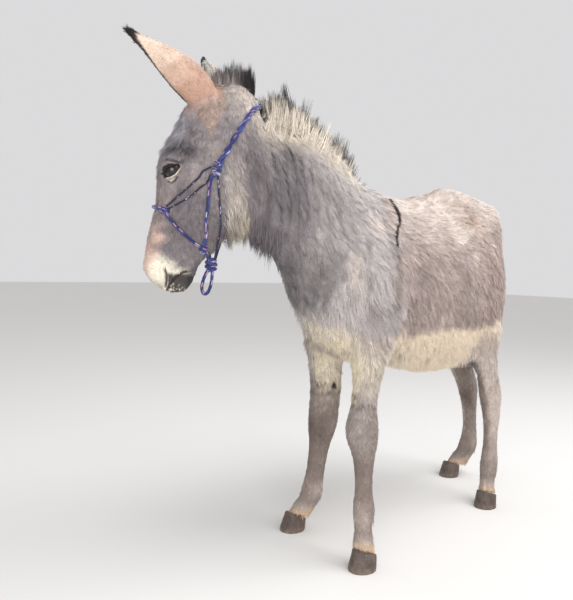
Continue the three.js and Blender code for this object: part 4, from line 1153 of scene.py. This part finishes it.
def makeJowl():
    def jawAngle(p, n):
        s, t, side = headCoords(p)
        off, share = faceLine("jaw", s, t)
        return hill(off, 0, 15) * (groundCoords(p)[:, 2] > 840) * (np.abs(side) < 80)

    def throat(p, n):
        s, t, side = headCoords(p)
        y = groundCoords(p)[:, 1]
        under = ramp(0.0, 0.5, -n[:, 2] - 0.25 * n[:, 1])
        return under * ramp(196, 226, s) * fall(285, 315, s) * fall(-108, -84, t) * fall(-255, -225, y)

    for (name, sizes), weight in zip(jowlSizes.items(), (jawAngle, throat)):
        root, n = pickRoots(few(sizes["hairs"]), weight)
        off, share = faceLine("jaw", *headCoords(root)[:2])
        far = sizes["long"] * (0.8 + 0.7 * dice.random(len(root)))
        far *= 1 + sizes["low"] * ramp(0.3, 0.9, share)
        way = np.array([0, 0.08, -1.0]) + 0.22 * n + 0.10 * dice.normal(size=(len(root), 3))
        tip = root + unit(way) * far[:, None]
        pale = (np.clip(0.6 + 0.4 * cloud(root, 0.012, 2.0), 0, 1) * fall(14, 34, off)
                * (0.25 + 0.75 * ramp(0.15, 0.6, share)))
        growLong(name, root - n * 0.001, tip, n, 0.0018 * (0.7 + 0.6 * dice.random(len(root))),
                 blendHue(sizes["under"], "jowl", 0.8 * pale),
                 blendHue(sizes["under"], "chest", 0.75 * pale), rings=2, bow=0.10, lock=0.011,
                 gather=0.5, ragged=0.15, soft=0.7)


stripeSizes = {"hairs": 340, "start": 0.20, "run": 0.56, "width": 0.0011, "thin": 0.0007, "broad": 0.0015}


# Hair of the dark stripes over the shoulders.
def makeStripes():
    count = few(stripeSizes["hairs"])
    table = [place(*spot) for spot in lines["stripe"]]
    for side, word in ((1, "left"), (-1, "right")):
        share = stripeSizes["start"] + stripeSizes["run"] * dice.random(count)
        at = alongTable(table, share)
        run = unit(alongTable(table, np.minimum(share + 0.03, 1)) - at)
        if side < 0:
            flip = np.array([-1.0, 1.0, 1.0])
            at = (at - body["stand"]) * flip + body["stand"]
            run = run * flip
        found = [skinTree.find_nearest(Vector(v)) for v in at]
        on = np.array([v[0] for v in found])
        n = np.array([v[1] for v in found])
        across = np.cross(n, run)
        broad = hill(share, 0.46, 0.20)
        half = stripeSizes["thin"] + stripeSizes["broad"] * broad
        root = on + across * (half * dice.normal(size=count))[:, None] + n * 0.003
        tip = (root + run * (0.011 + 0.006 * dice.random(count))[:, None]
               + n * (0.0075 + 0.002 * dice.random(count))[:, None])
        growLong(f"stripe_{word}", root, tip, n, stripeSizes["width"] + 0.0008 * broad,
                 blendHue("dark", "stripe", share), even(count, hues["stripe"]), rings=2, bow=0.06,
                 lock=0.006, soft=0.7)


def onRims(name, share):  # places on both edges of an ear by turns, and its middle there
    leading, trailing = [alongTable(rim, share) for rim in earRims[name]]
    odd = np.arange(len(share))[:, None] % 2
    return np.where(odd == 0, leading, trailing), (leading + trailing) / 2


# Longer hairs under the belly, on the chest, along the ears and at their tips: how many, and the width.
fringeSizes = {"belly": (2000, 0.0014), "chest": (1800, 0.0014), "rim": (420, 0.0016), "tip": (260, 0.0018)}


def makeFringes():
    def underBelly(p, n):
        y, z = groundCoords(p)[:, 1:].T
        return hill(y, 165, 75) * (z < 590) * ramp(0.2, 0.8, -n[:, 2]) * (parts(p)["legs"] < 0.4)

    def chestFront(p, n):
        x, y, z = groundCoords(p).T
        wide = hill(x, 20 * np.sign(x + 1e-6), 52)
        return wide * hill(z, 618, 26) * fall(20, 60, y) * ramp(-0.1, 0.3, -n[:, 1])

    for name, weight, way in (("belly", underBelly, [0, 0.8, -0.8]),
                              ("chest", chestFront, [0, 0.05, -1.0])):
        number, width = fringeSizes[name]
        root, n = pickRoots(few(number), weight)
        way = np.array(way) - n * (n @ np.array(way))[:, None] * 0.8
        way = unit(way) + 0.16 * dice.normal(size=(len(root), 3)) + 0.28 * n
        tip = root + unit(way) * (0.018 + 0.018 * dice.random(len(root)))[:, None]
        share = dice.random(len(root))
        growLong(f"{name}_fringe", root, tip, n, width + 0 * share,
                 blendHue("trunk", "chest", 0.4 + 0.6 * share), blendHue("belly", "chest", share), rings=2,
                 bow=0.1, lock=0.010, gather=0.5, ragged=0.12, soft=0.75)
    for name, word in zip(earRings, ("ear_left", "ear_right")):
        ends = np.asarray(lines[name])
        up = unit(ends[-1] - ends[1])
        count, width = few(fringeSizes["rim"][0]), fringeSizes["rim"][1]
        share = 0.24 + 0.62 * dice.random(count)
        rim, middle = onRims(name, share)
        inward = unit(middle - rim)
        root = rim + inward * (0.002 + 0.006 * dice.random(count))[:, None] - earOpening[name] * 0.002
        way = inward * 0.55 + up * 0.75 + earOpening[name] * 0.30 + 0.15 * dice.normal(size=(count, 3))
        tip = root + unit(way) * ((0.014 + 0.016 * dice.random(count)) * (1.15 - 0.6 * share))[:, None]
        growLong(f"{word}_fringe", root, tip, even(count, earOpening[name]), width + 0 * share,
                 even(count, hues["earIn"]), blendHue("earIn", "muzzle", share), rings=2, bow=0.1,
                 lock=0.008, soft=0.4)
        count, width = few(fringeSizes["tip"][0]), fringeSizes["tip"][1]
        share = 0.80 + 0.2 * dice.random(count)
        edge, middle = onRims(name, share)
        out = dice.random(count)[:, None]
        root = edge * out + middle * (1 - out)
        way = up + 0.22 * dice.normal(size=(count, 3)) + 0.25 * unit(edge - middle)
        tip = root + unit(way) * (0.007 + 0.010 * dice.random(count))[:, None]
        dark = blendHue("stripe", "dark", share - 0.8)
        growLong(f"{word}_tip", root, tip, unit(edge - middle + 0.001), width + 0 * share, dark, dark,
                 rings=2, bow=0.1, lock=0.008, soft=0.3)


makeMane()
makeForelock()
makeTail()
makeJowl()
makeStripes()
makeFringes()
print("long hair grown")


eyeHues = {"ball": hue(58, 46, 42), "iris": hue(30, 20, 16), "pupil": hue(8, 8, 12), "rim": hue(38, 32, 32)}
eyeSizes = {"iris": 13.9, "pupilWide": 7.5, "pupilHigh": 4.2, "bulge": 0.045, "rays": 17, "lashes": 90,
            "lashAt": 21.2, "lashLong": 0.008, "lashWide": 0.0007}


# The edge of the opening of the lids at each turn round it, and how high it lies at a given reach
# from the ball's centre.
def lidEdge(turn, reach):
    a = lidSizes["half"] * np.sign(np.cos(turn)) * np.abs(np.cos(turn)) ** (4 / 3)
    upper = lidSizes["upper"] * (1 + lidSizes["skew"] * a / lidSizes["half"])
    b = np.where(np.sin(turn) > 0, upper, lidSizes["lower"]) * np.sin(turn) - lidSizes["low"]
    return a, b, np.sqrt(np.maximum(reach ** 2 - a ** 2 - b ** 2, 9.0))


def makeEye(side):
    name = "eye_left" if side > 0 else "eye_right"
    centre, look, canthus, brow = eyeFrame(side)
    bpy.ops.object.select_all(action="DESELECT")
    bpy.ops.mesh.primitive_uv_sphere_add(segments=64, ring_count=48, radius=lidSizes["ball"],
                                         location=(0, 0, 0))
    ball = bpy.context.object
    ball.name = f"{name}_ball"
    co = corners(ball)
    co = co[:, :1] * canthus + co[:, 1:2] * brow + co[:, 2:3] * look
    a, b, k = co @ canthus * 1000, co @ brow * 1000, co @ look * 1000
    far = np.hypot(a, b)
    bulge = 1 + eyeSizes["bulge"] * fall(4, 14, far) * (k > 0)
    moveCorners(ball, centre + co * bulge[:, None])
    faceOut(ball)
    bpy.ops.object.shade_smooth()
    pupil = fall(0.8, 1.1, np.hypot(a / eyeSizes["pupilWide"], b / eyeSizes["pupilHigh"]))[:, None]
    iris = fall(-0.7, 0.7, far - eyeSizes["iris"])[:, None]
    streak = 0.75 + 0.5 * np.abs(np.sin(np.arctan2(b, a) * eyeSizes["rays"]))[:, None]
    colour = eyeHues["ball"] * (1 - iris) + eyeHues["iris"] * streak * iris
    colour = colour * (1 - pupil) + eyeHues["pupil"] * pupil
    paint(ball, np.where((k > 0)[:, None], colour, eyeHues["ball"]))
    ball.data.materials.append(eyeStuff)
    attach(ball, "root")
    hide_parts(name)
    turn = np.linspace(0, 2 * math.pi, 73)[:-1]
    line = eyePlace(side, *lidEdge(turn, 1000 * (lidSizes["ball"] + 0.0006)))
    rim = tube(f"{name}_rim", line, lidSizes["rim"] + 0 * turn, 8, closed=True)
    paint(rim, even(len(rim.data.vertices), eyeHues["rim"]))
    rim.data.materials.append(lidStuff)
    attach(rim, "root")
    count = eyeSizes["lashes"]
    a, b, k = lidEdge((0.10 + 0.80 * dice.random(count)) * math.pi, eyeSizes["lashAt"])
    root = eyePlace(side, a, b + 0.4, k)
    sweep = (np.outer(5 + 0.5 * a, canthus) + np.outer(3 - 7 * dice.random(count), brow)
             + np.outer(9 + 0 * a, look))
    tip = root + unit(sweep) * (eyeSizes["lashLong"] + 0.006 * dice.random(count))[:, None]
    dark = even(count, hues["stripe"])
    growLong(f"{name}_lashes", root, tip, even(count, look), eyeSizes["lashWide"] + 0 * a, dark, dark,
             rings=3, bow=0.1, lock=0.004)


# A round tube along a line, with a radius for every point.
def tube(name, line, radius, sides, closed=False, relief=None):
    line = np.asarray(line, float)
    count = len(line)
    if closed:
        run = unit(np.roll(line, -1, axis=0) - np.roll(line, 1, axis=0))
    else:
        run = unit(np.gradient(line, axis=0))
    across = [unit(np.cross(run[0], [0.3, 0.5, 0.8]))]
    for k in range(1, count):
        across.append(unit(across[-1] - (across[-1] @ run[k]) * run[k]))
    across = np.array(across)
    up = np.cross(run, across)
    turn = np.linspace(0, 2 * math.pi, sides + 1)[:-1]
    size = np.asarray(radius)[:, None] * (np.ones(sides)[None] if relief is None else relief)
    ring = (line[:, None] + size[..., None] * (across[:, None] * np.cos(turn)[None, :, None]
                                               + up[:, None] * np.sin(turn)[None, :, None]))
    verts = ring.reshape(-1, 3)
    faces = []
    for k in range(count if closed else count - 1):
        j = (k + 1) % count
        for m in range(sides):
            n = (m + 1) % sides
            faces += [[k * sides + m, k * sides + n, j * sides + n],
                      [k * sides + m, j * sides + n, j * sides + m]]
    if not closed:
        verts = np.vstack([verts, line[0] - run[0] * radius[0] * 0.4,
                           line[-1] + run[-1] * radius[-1] * 0.4])
        for m in range(sides):
            n = (m + 1) % sides
            faces.append([count * sides, n, m])
            faces.append([count * sides + 1, (count - 1) * sides + m, (count - 1) * sides + n])
    piece = newPiece(name, verts, faces)
    faceOut(piece)
    return piece


for side in (1, -1):
    makeEye(side)
print("eyes made")


hoofSizes = {"grid": 0.0022, "ring": 0.00845, "ringDepth": 0.00055, "crack": 0.0005, "dust": 0.022,
             "horn": hue(88, 76, 70), "dusty": hue(128, 112, 98)}


def makeHoof(name):
    hoof = nodeCopy(name, f"{name}_horn")
    hoof.data.materials.clear()
    openMesh(hoof)
    bpy.ops.mesh.remove_doubles(threshold=skinSizes["merge"])
    closeMesh()
    finishModifier(hoof, "REMESH", mode="VOXEL", voxel_size=hoofSizes["grid"], use_smooth_shade=True)
    finishModifier(hoof, "SMOOTH", factor=0.5, iterations=7)
    co = corners(hoof)
    low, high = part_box(name)
    middle = (np.array(low) + np.array(high)) / 2
    z = co[:, 2]
    away = co - middle
    away[:, 2] = 0
    wall = ramp(0.004, 0.010, z)
    rings = hoofSizes["ringDepth"] * np.sin(z / hoofSizes["ring"] * 2 * math.pi + 2 * cloud(co, 0.03, 1.0))
    rings += hoofSizes["crack"] * cloud(co * np.array([1, 1, 0.2]), 0.004, 2.0)
    co = co + unit(away) * (rings * wall)[:, None]
    co[:, 2] = np.where(z < hoofSizes["grid"], 0.0, z)
    moveCorners(hoof, co)
    tone = 1 + 0.25 * cloud(co * np.array([1, 1, 0.25]), 0.006, 3.0) + 0.2 * cloud(co, 0.02, 8.0)
    dusty = 0.5 * fall(0.0, hoofSizes["dust"], z + 0.006 * cloud(co, 0.01, 6.0))[:, None]
    colour = hoofSizes["horn"] * (1 - dusty) + hoofSizes["dusty"] * dusty
    paint(hoof, np.clip(colour * tone[:, None], 0.01, 0.9))
    hoof.data.materials.append(hornStuff)
    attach(hoof, "root")
    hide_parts(name)


for name in ("fore_hoof_left", "fore_hoof_right", "hind_hoof_left", "hind_hoof_right"):
    makeHoof(name)
print("hooves made")

# Radii of rope and cord, their distance from the coat, and the length and turn of the braid.
halterSizes = {"rope": 0.0042, "cord": 0.0024, "clear": 0.0011, "step": 0.0016, "strands": 3, "twist": 1.1,
               "relief": 0.16, "twinTurn": 0.030, "wrap": 0.0038, "wraps": 3.0}
# Colours of the strands, and the shares of cells left before the pale and the pink flecks.
ropeHues = {
    "rope": {"main": hue(58, 70, 136), "other": hue(34, 43, 94), "pale": 0.86, "pink": 0.95},
    "cord": {"main": hue(38, 42, 74), "other": hue(24, 26, 46), "pale": 0.95, "pink": 0.98},
}
cheekRuns = {
    "cheek_rope": [[170, -18], [198, -20], [226, -30], [255, -41], [285, -51], [313, -61], [342, -68]],
    "nose_cord_upper": [[172, -8], [190, 5], [204, 5], [222, 12], [246, 23], [270, 34], [302, 49]],
    "nose_cord_lower": [[180, -16], [208, -15], [226, -6], [246, 2], [262, 12], [278, 24], [302, 42]],
    "chin_rope": [[308, 46], [318, 26], [328, 2], [336, -24], [342, -48], [345, -66]],
}
halterPaths = {
    "crown": [[166, -20], [140, -21], [115, -23], [85, -24], [48, -26], [14, -27]],
    "nose": [[304, 45], [308, 62]],
    "jaw": [[345, -68], [354, -80]],
    "throat": [[176, -26], [196, -38], [222, -53], [250, -70], [276, -82], [298, -86]],
    "loop": [[76, -386, 5], [86, -408, 8], [92, -432, 8], [88, -450, 2], [78, -448, -4], [70, -424, -7],
             [68, -390, -5]],
}
# Each knot: along and forward on the head, and half its width, thickness and length.
knots = {"upper_knot": (170, -21, 12, 12, 20), "nose_knot": (305, 47, 13, 11, 10),
         "side_knot": (345, -68, 11, 11, 12)}


def coatSurface():
    points, faces, start = [], [], 0
    for name in ("head", "neck", "trunk"):
        points.append(corners(nodes[name]))
        faces += [[start + k for k in polygon.vertices] for polygon in nodes[name].data.polygons]
        start += len(points[-1])
    return BVHTree.FromPolygons(np.concatenate(points).tolist(), faces)


surface = coatSurface()


def lay(origin, way, clear):  # the first place on the coat along the way, a little off it
    spot, normal = surface.ray_cast(Vector(origin), Vector(way))[:2]
    if spot is None:
        return np.array(origin) + np.array(way) * 0.1
    normal = np.array(normal)
    if normal @ np.array(way) > 0:
        normal = -normal
    return np.array(spot) + (normal * 0.6 - np.array(way) * 0.4) * clear


def onCheek(along, forward, side, clear):
    return lay(headPlace(along, forward, side * 160), -body["headLeft"] * side, clear)


def smoothLine(points, step, passes):
    points = np.asarray(points, float)
    far = np.concatenate([[0], np.cumsum(np.linalg.norm(np.diff(points, axis=0), axis=1))])
    count = max(6, int(far[-1] / step))
    at = np.linspace(0, far[-1], count)
    line = np.column_stack([np.interp(at, far, points[:, k]) for k in range(3)])
    for _ in range(passes):
        line[1:-1] = 0.25 * line[:-2] + 0.5 * line[1:-1] + 0.25 * line[2:]
    return line


def laidLine(path, radius, side):
    path = np.asarray(path, float)
    fine = alongTable(path, np.linspace(0, 1, 6 * len(path)))
    return [onCheek(a, f, side, radius + halterSizes["clear"]) for a, f in fine]


# A braided rope: crossing strands stand out and carry pale flecks, with painted shade in the grooves
# between them.
def braid(name, points, radius, dark, passes=10):
    line = smoothLine(points, halterSizes["step"], passes)
    sides = 12 if radius > 0.003 else 10
    turn = np.linspace(0, 2 * math.pi, sides + 1)[:-1]
    far = halterSizes["twist"] * np.arange(len(line))[:, None] * halterSizes["step"] / radius
    left = halterSizes["strands"] * turn[None] + far
    right = halterSizes["strands"] * turn[None] - far
    high = np.maximum(np.abs(np.sin(left)), np.abs(np.sin(right)))
    relief = 1 - halterSizes["relief"] * (1 - high)
    rope = tube(name, line, radius + np.zeros(len(line)), sides, relief=relief)
    cell = np.floor(left / math.pi) * 12.9898 + np.floor(right / math.pi) * 78.233
    pick = np.sin(cell) * 43758.5453
    pick = (pick - np.floor(pick)).ravel()
    kind = ropeHues["cord" if dark else "rope"]
    colour = np.where((pick < 0.5)[:, None], kind["main"], kind["other"])
    colour = np.where((pick > kind["pale"])[:, None], hue(196, 198, 214), colour)
    colour = np.where((pick > kind["pink"])[:, None], hue(206, 150, 160), colour)
    # Painted shade: the colour is darkened in the grooves between the strands.
    grooveShade = 0.55 + 0.45 * high.ravel()
    full = np.vstack([colour * grooveShade[:, None], colour[:1], colour[-1:]])
    paint(rope, full[:len(rope.data.vertices)])
    rope.data.materials.append(ropeStuff)
    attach(rope, "root")
    return rope


def makeRope(node, points, radius, dark=False, passes=10):
    rope = braid(f"{node}_braid", points, radius, dark, passes)
    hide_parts(node)


# Two ropes laid round each other.
def makeDouble(node, points, radius):
    line = smoothLine(points, 0.004, 10)
    run = unit(np.gradient(line, axis=0))
    across = unit(np.cross(run, headWay(0, 1) + 0.001 * run))
    turn = np.arange(len(line)) * 0.004 / halterSizes["twinTurn"] * math.pi
    made = []
    for phase in (0, math.pi):
        shift = (across * np.cos(turn + phase)[:, None]
                 + np.cross(run, across) * np.sin(turn + phase)[:, None])
        made.append(braid(f"{node}_braid", line + shift * radius * 0.95, radius, False, 2))
    joined(made, f"{node}_braid")
    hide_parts(node)


# A knot: two cords wound over each other, in the shape of an egg.
def makeKnot(node, centre, axes, sizes):
    across, out, down = axes
    wide, thick, long = [v / 1000 for v in sizes]
    r = halterSizes["wrap"]
    share = np.linspace(-1, 1, 90)
    slim = np.sqrt(1 - 0.55 * share ** 2)
    turn = (share + 1) * halterSizes["wraps"] * math.pi
    made = []
    for way, phase in ((1, 0.0), (-1, 1.1)):
        line = (centre + np.outer(share * (long - r), down)
                + np.outer((wide - r) * slim * np.cos(way * turn + phase), across)
                + np.outer((thick - r) * slim * np.sin(way * turn + phase), out))
        made.append(braid("wrap", line, r, False, 1))
    joined(made, f"{node}_wraps")
    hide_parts(node)


def makeHalter():
    rope, cord, clear = halterSizes["rope"], halterSizes["cord"], halterSizes["clear"]
    down = headWay(1, -0.25)
    for side in (1, -1):
        word = "left" if side > 0 else "right"
        for name, path in cheekRuns.items():
            radius = cord if "cord" in name else rope
            makeRope(f"halter_{name}_{word}", laidLine(path, radius, side), radius, "cord" in name)
        for name, path, radius, shift in (("jaw_rope", "jaw", rope, 6),
                                          ("throat_cord", "throat", cord, -7)):
            line = laidLine(halterPaths[path], radius, side)
            line.append(crownPlace(71 + shift, -374, side * 5))
            makeRope(f"halter_{name}_{word}", line, radius, "cord" in name, 4)
        for name, (along, forward, wide, thick, long) in knots.items():
            centre = onCheek(along, forward, side, 0.004)
            out = unit(body["headLeft"] * side - (body["headLeft"] * side @ down) * down)
            makeKnot(f"halter_{name}_{word}", centre, (np.cross(down, out), out, down), (wide, thick, long))
    top = lay(headPlace(-140, -30, 0), headWay(1, 0), rope + clear)
    makeDouble("halter_crown", laidLine(halterPaths["crown"], rope, 1) + [top]
               + laidLine(halterPaths["crown"], rope, -1)[::-1], 0.9 * rope)
    bridge = lay(headPlace(310, 150, 0), -headWay(0, 1), 1.15 * rope + clear)
    makeRope("halter_noseband", laidLine(halterPaths["nose"], 1.15 * rope, 1) + [bridge]
             + laidLine(halterPaths["nose"], 1.15 * rope, -1)[::-1], 1.15 * rope)
    makeRope("halter_lead_loop", [crownPlace(*p) for p in halterPaths["loop"]], rope, False, 30)
    makeKnot("halter_chin_knot", crownPlace(71, -378, 0),
             (body["headAhead"], body["headLeft"], np.array([0, 0, 1.0])), (16, 15, 19))


makeHalter()
print("halter laid")

bpy.context.scene.view_settings.view_transform = "Standard"
# Place in metres, angles in degrees, roll as a slope and the lens in millimetres.
cameraSizes = {"place": (1.2199, -1.5060, 0.773), "azimuth": 45.98, "pitch": 2.994, "roll": 0.03,
               "lens": 39.0}


def makeCamera():
    azimuth, pitch = math.radians(cameraSizes["azimuth"]), math.radians(cameraSizes["pitch"])
    level = Vector((-math.sin(azimuth), math.cos(azimuth), 0))
    ahead = level * math.cos(pitch) - Vector((0, 0, math.sin(pitch)))
    right = ahead.cross(Vector((0, 0, 1))).normalized()
    up = right.cross(ahead)
    roll = math.atan(cameraSizes["roll"])
    turnedRight = right * math.cos(roll) + up * math.sin(roll)
    turnedUp = up * math.cos(roll) - right * math.sin(roll)
    bpy.ops.object.camera_add(location=cameraSizes["place"])
    camera = bpy.context.object
    camera.rotation_euler = Matrix((turnedRight, turnedUp, -ahead)).transposed().to_euler()
    camera.data.lens = cameraSizes["lens"]
    bpy.context.scene.camera = camera


# Each lamp: place, size and power.
lightSizes = {"world": 0.74, "worldHue": (0.96, 0.955, 0.97, 1),
              "lamps": (((1.6, 1.2, 3.6), 2.6, 105), ((2.4, -2.4, 0.6), 2.4, 90))}


def makeLight(place, size, power):
    bpy.ops.object.light_add(type="AREA", location=place)
    lamp = bpy.context.object
    lamp.data.size = size
    lamp.data.energy = power
    lamp.rotation_euler = (Vector((0, 0, 0.7)) - lamp.location).to_track_quat("-Z", "Y").to_euler()


def makeStage():
    bpy.ops.object.select_all(action="DESELECT")
    bpy.ops.mesh.primitive_plane_add(size=40, location=(0, 0, 0))
    floor = bpy.context.object
    floor.name = "floor"
    paleStuff = bpy.data.materials.new("paleFloor")
    paleStuff.use_nodes = True
    shader = paleStuff.node_tree.nodes["Principled BSDF"]
    shader.inputs["Base Color"].default_value = (0.78, 0.77, 0.75, 1)
    shader.inputs["Roughness"].default_value = 0.95
    floor.data.materials.append(paleStuff)
    for place, size, power in lightSizes["lamps"]:
        makeLight(place, size, power)
    world = bpy.data.worlds.new("World")
    bpy.context.scene.world = world
    world.use_nodes = True
    sky = world.node_tree.nodes["Background"]
    sky.inputs["Color"].default_value = lightSizes["worldHue"]
    sky.inputs["Strength"].default_value = lightSizes["world"]


makeCamera()
makeStage()
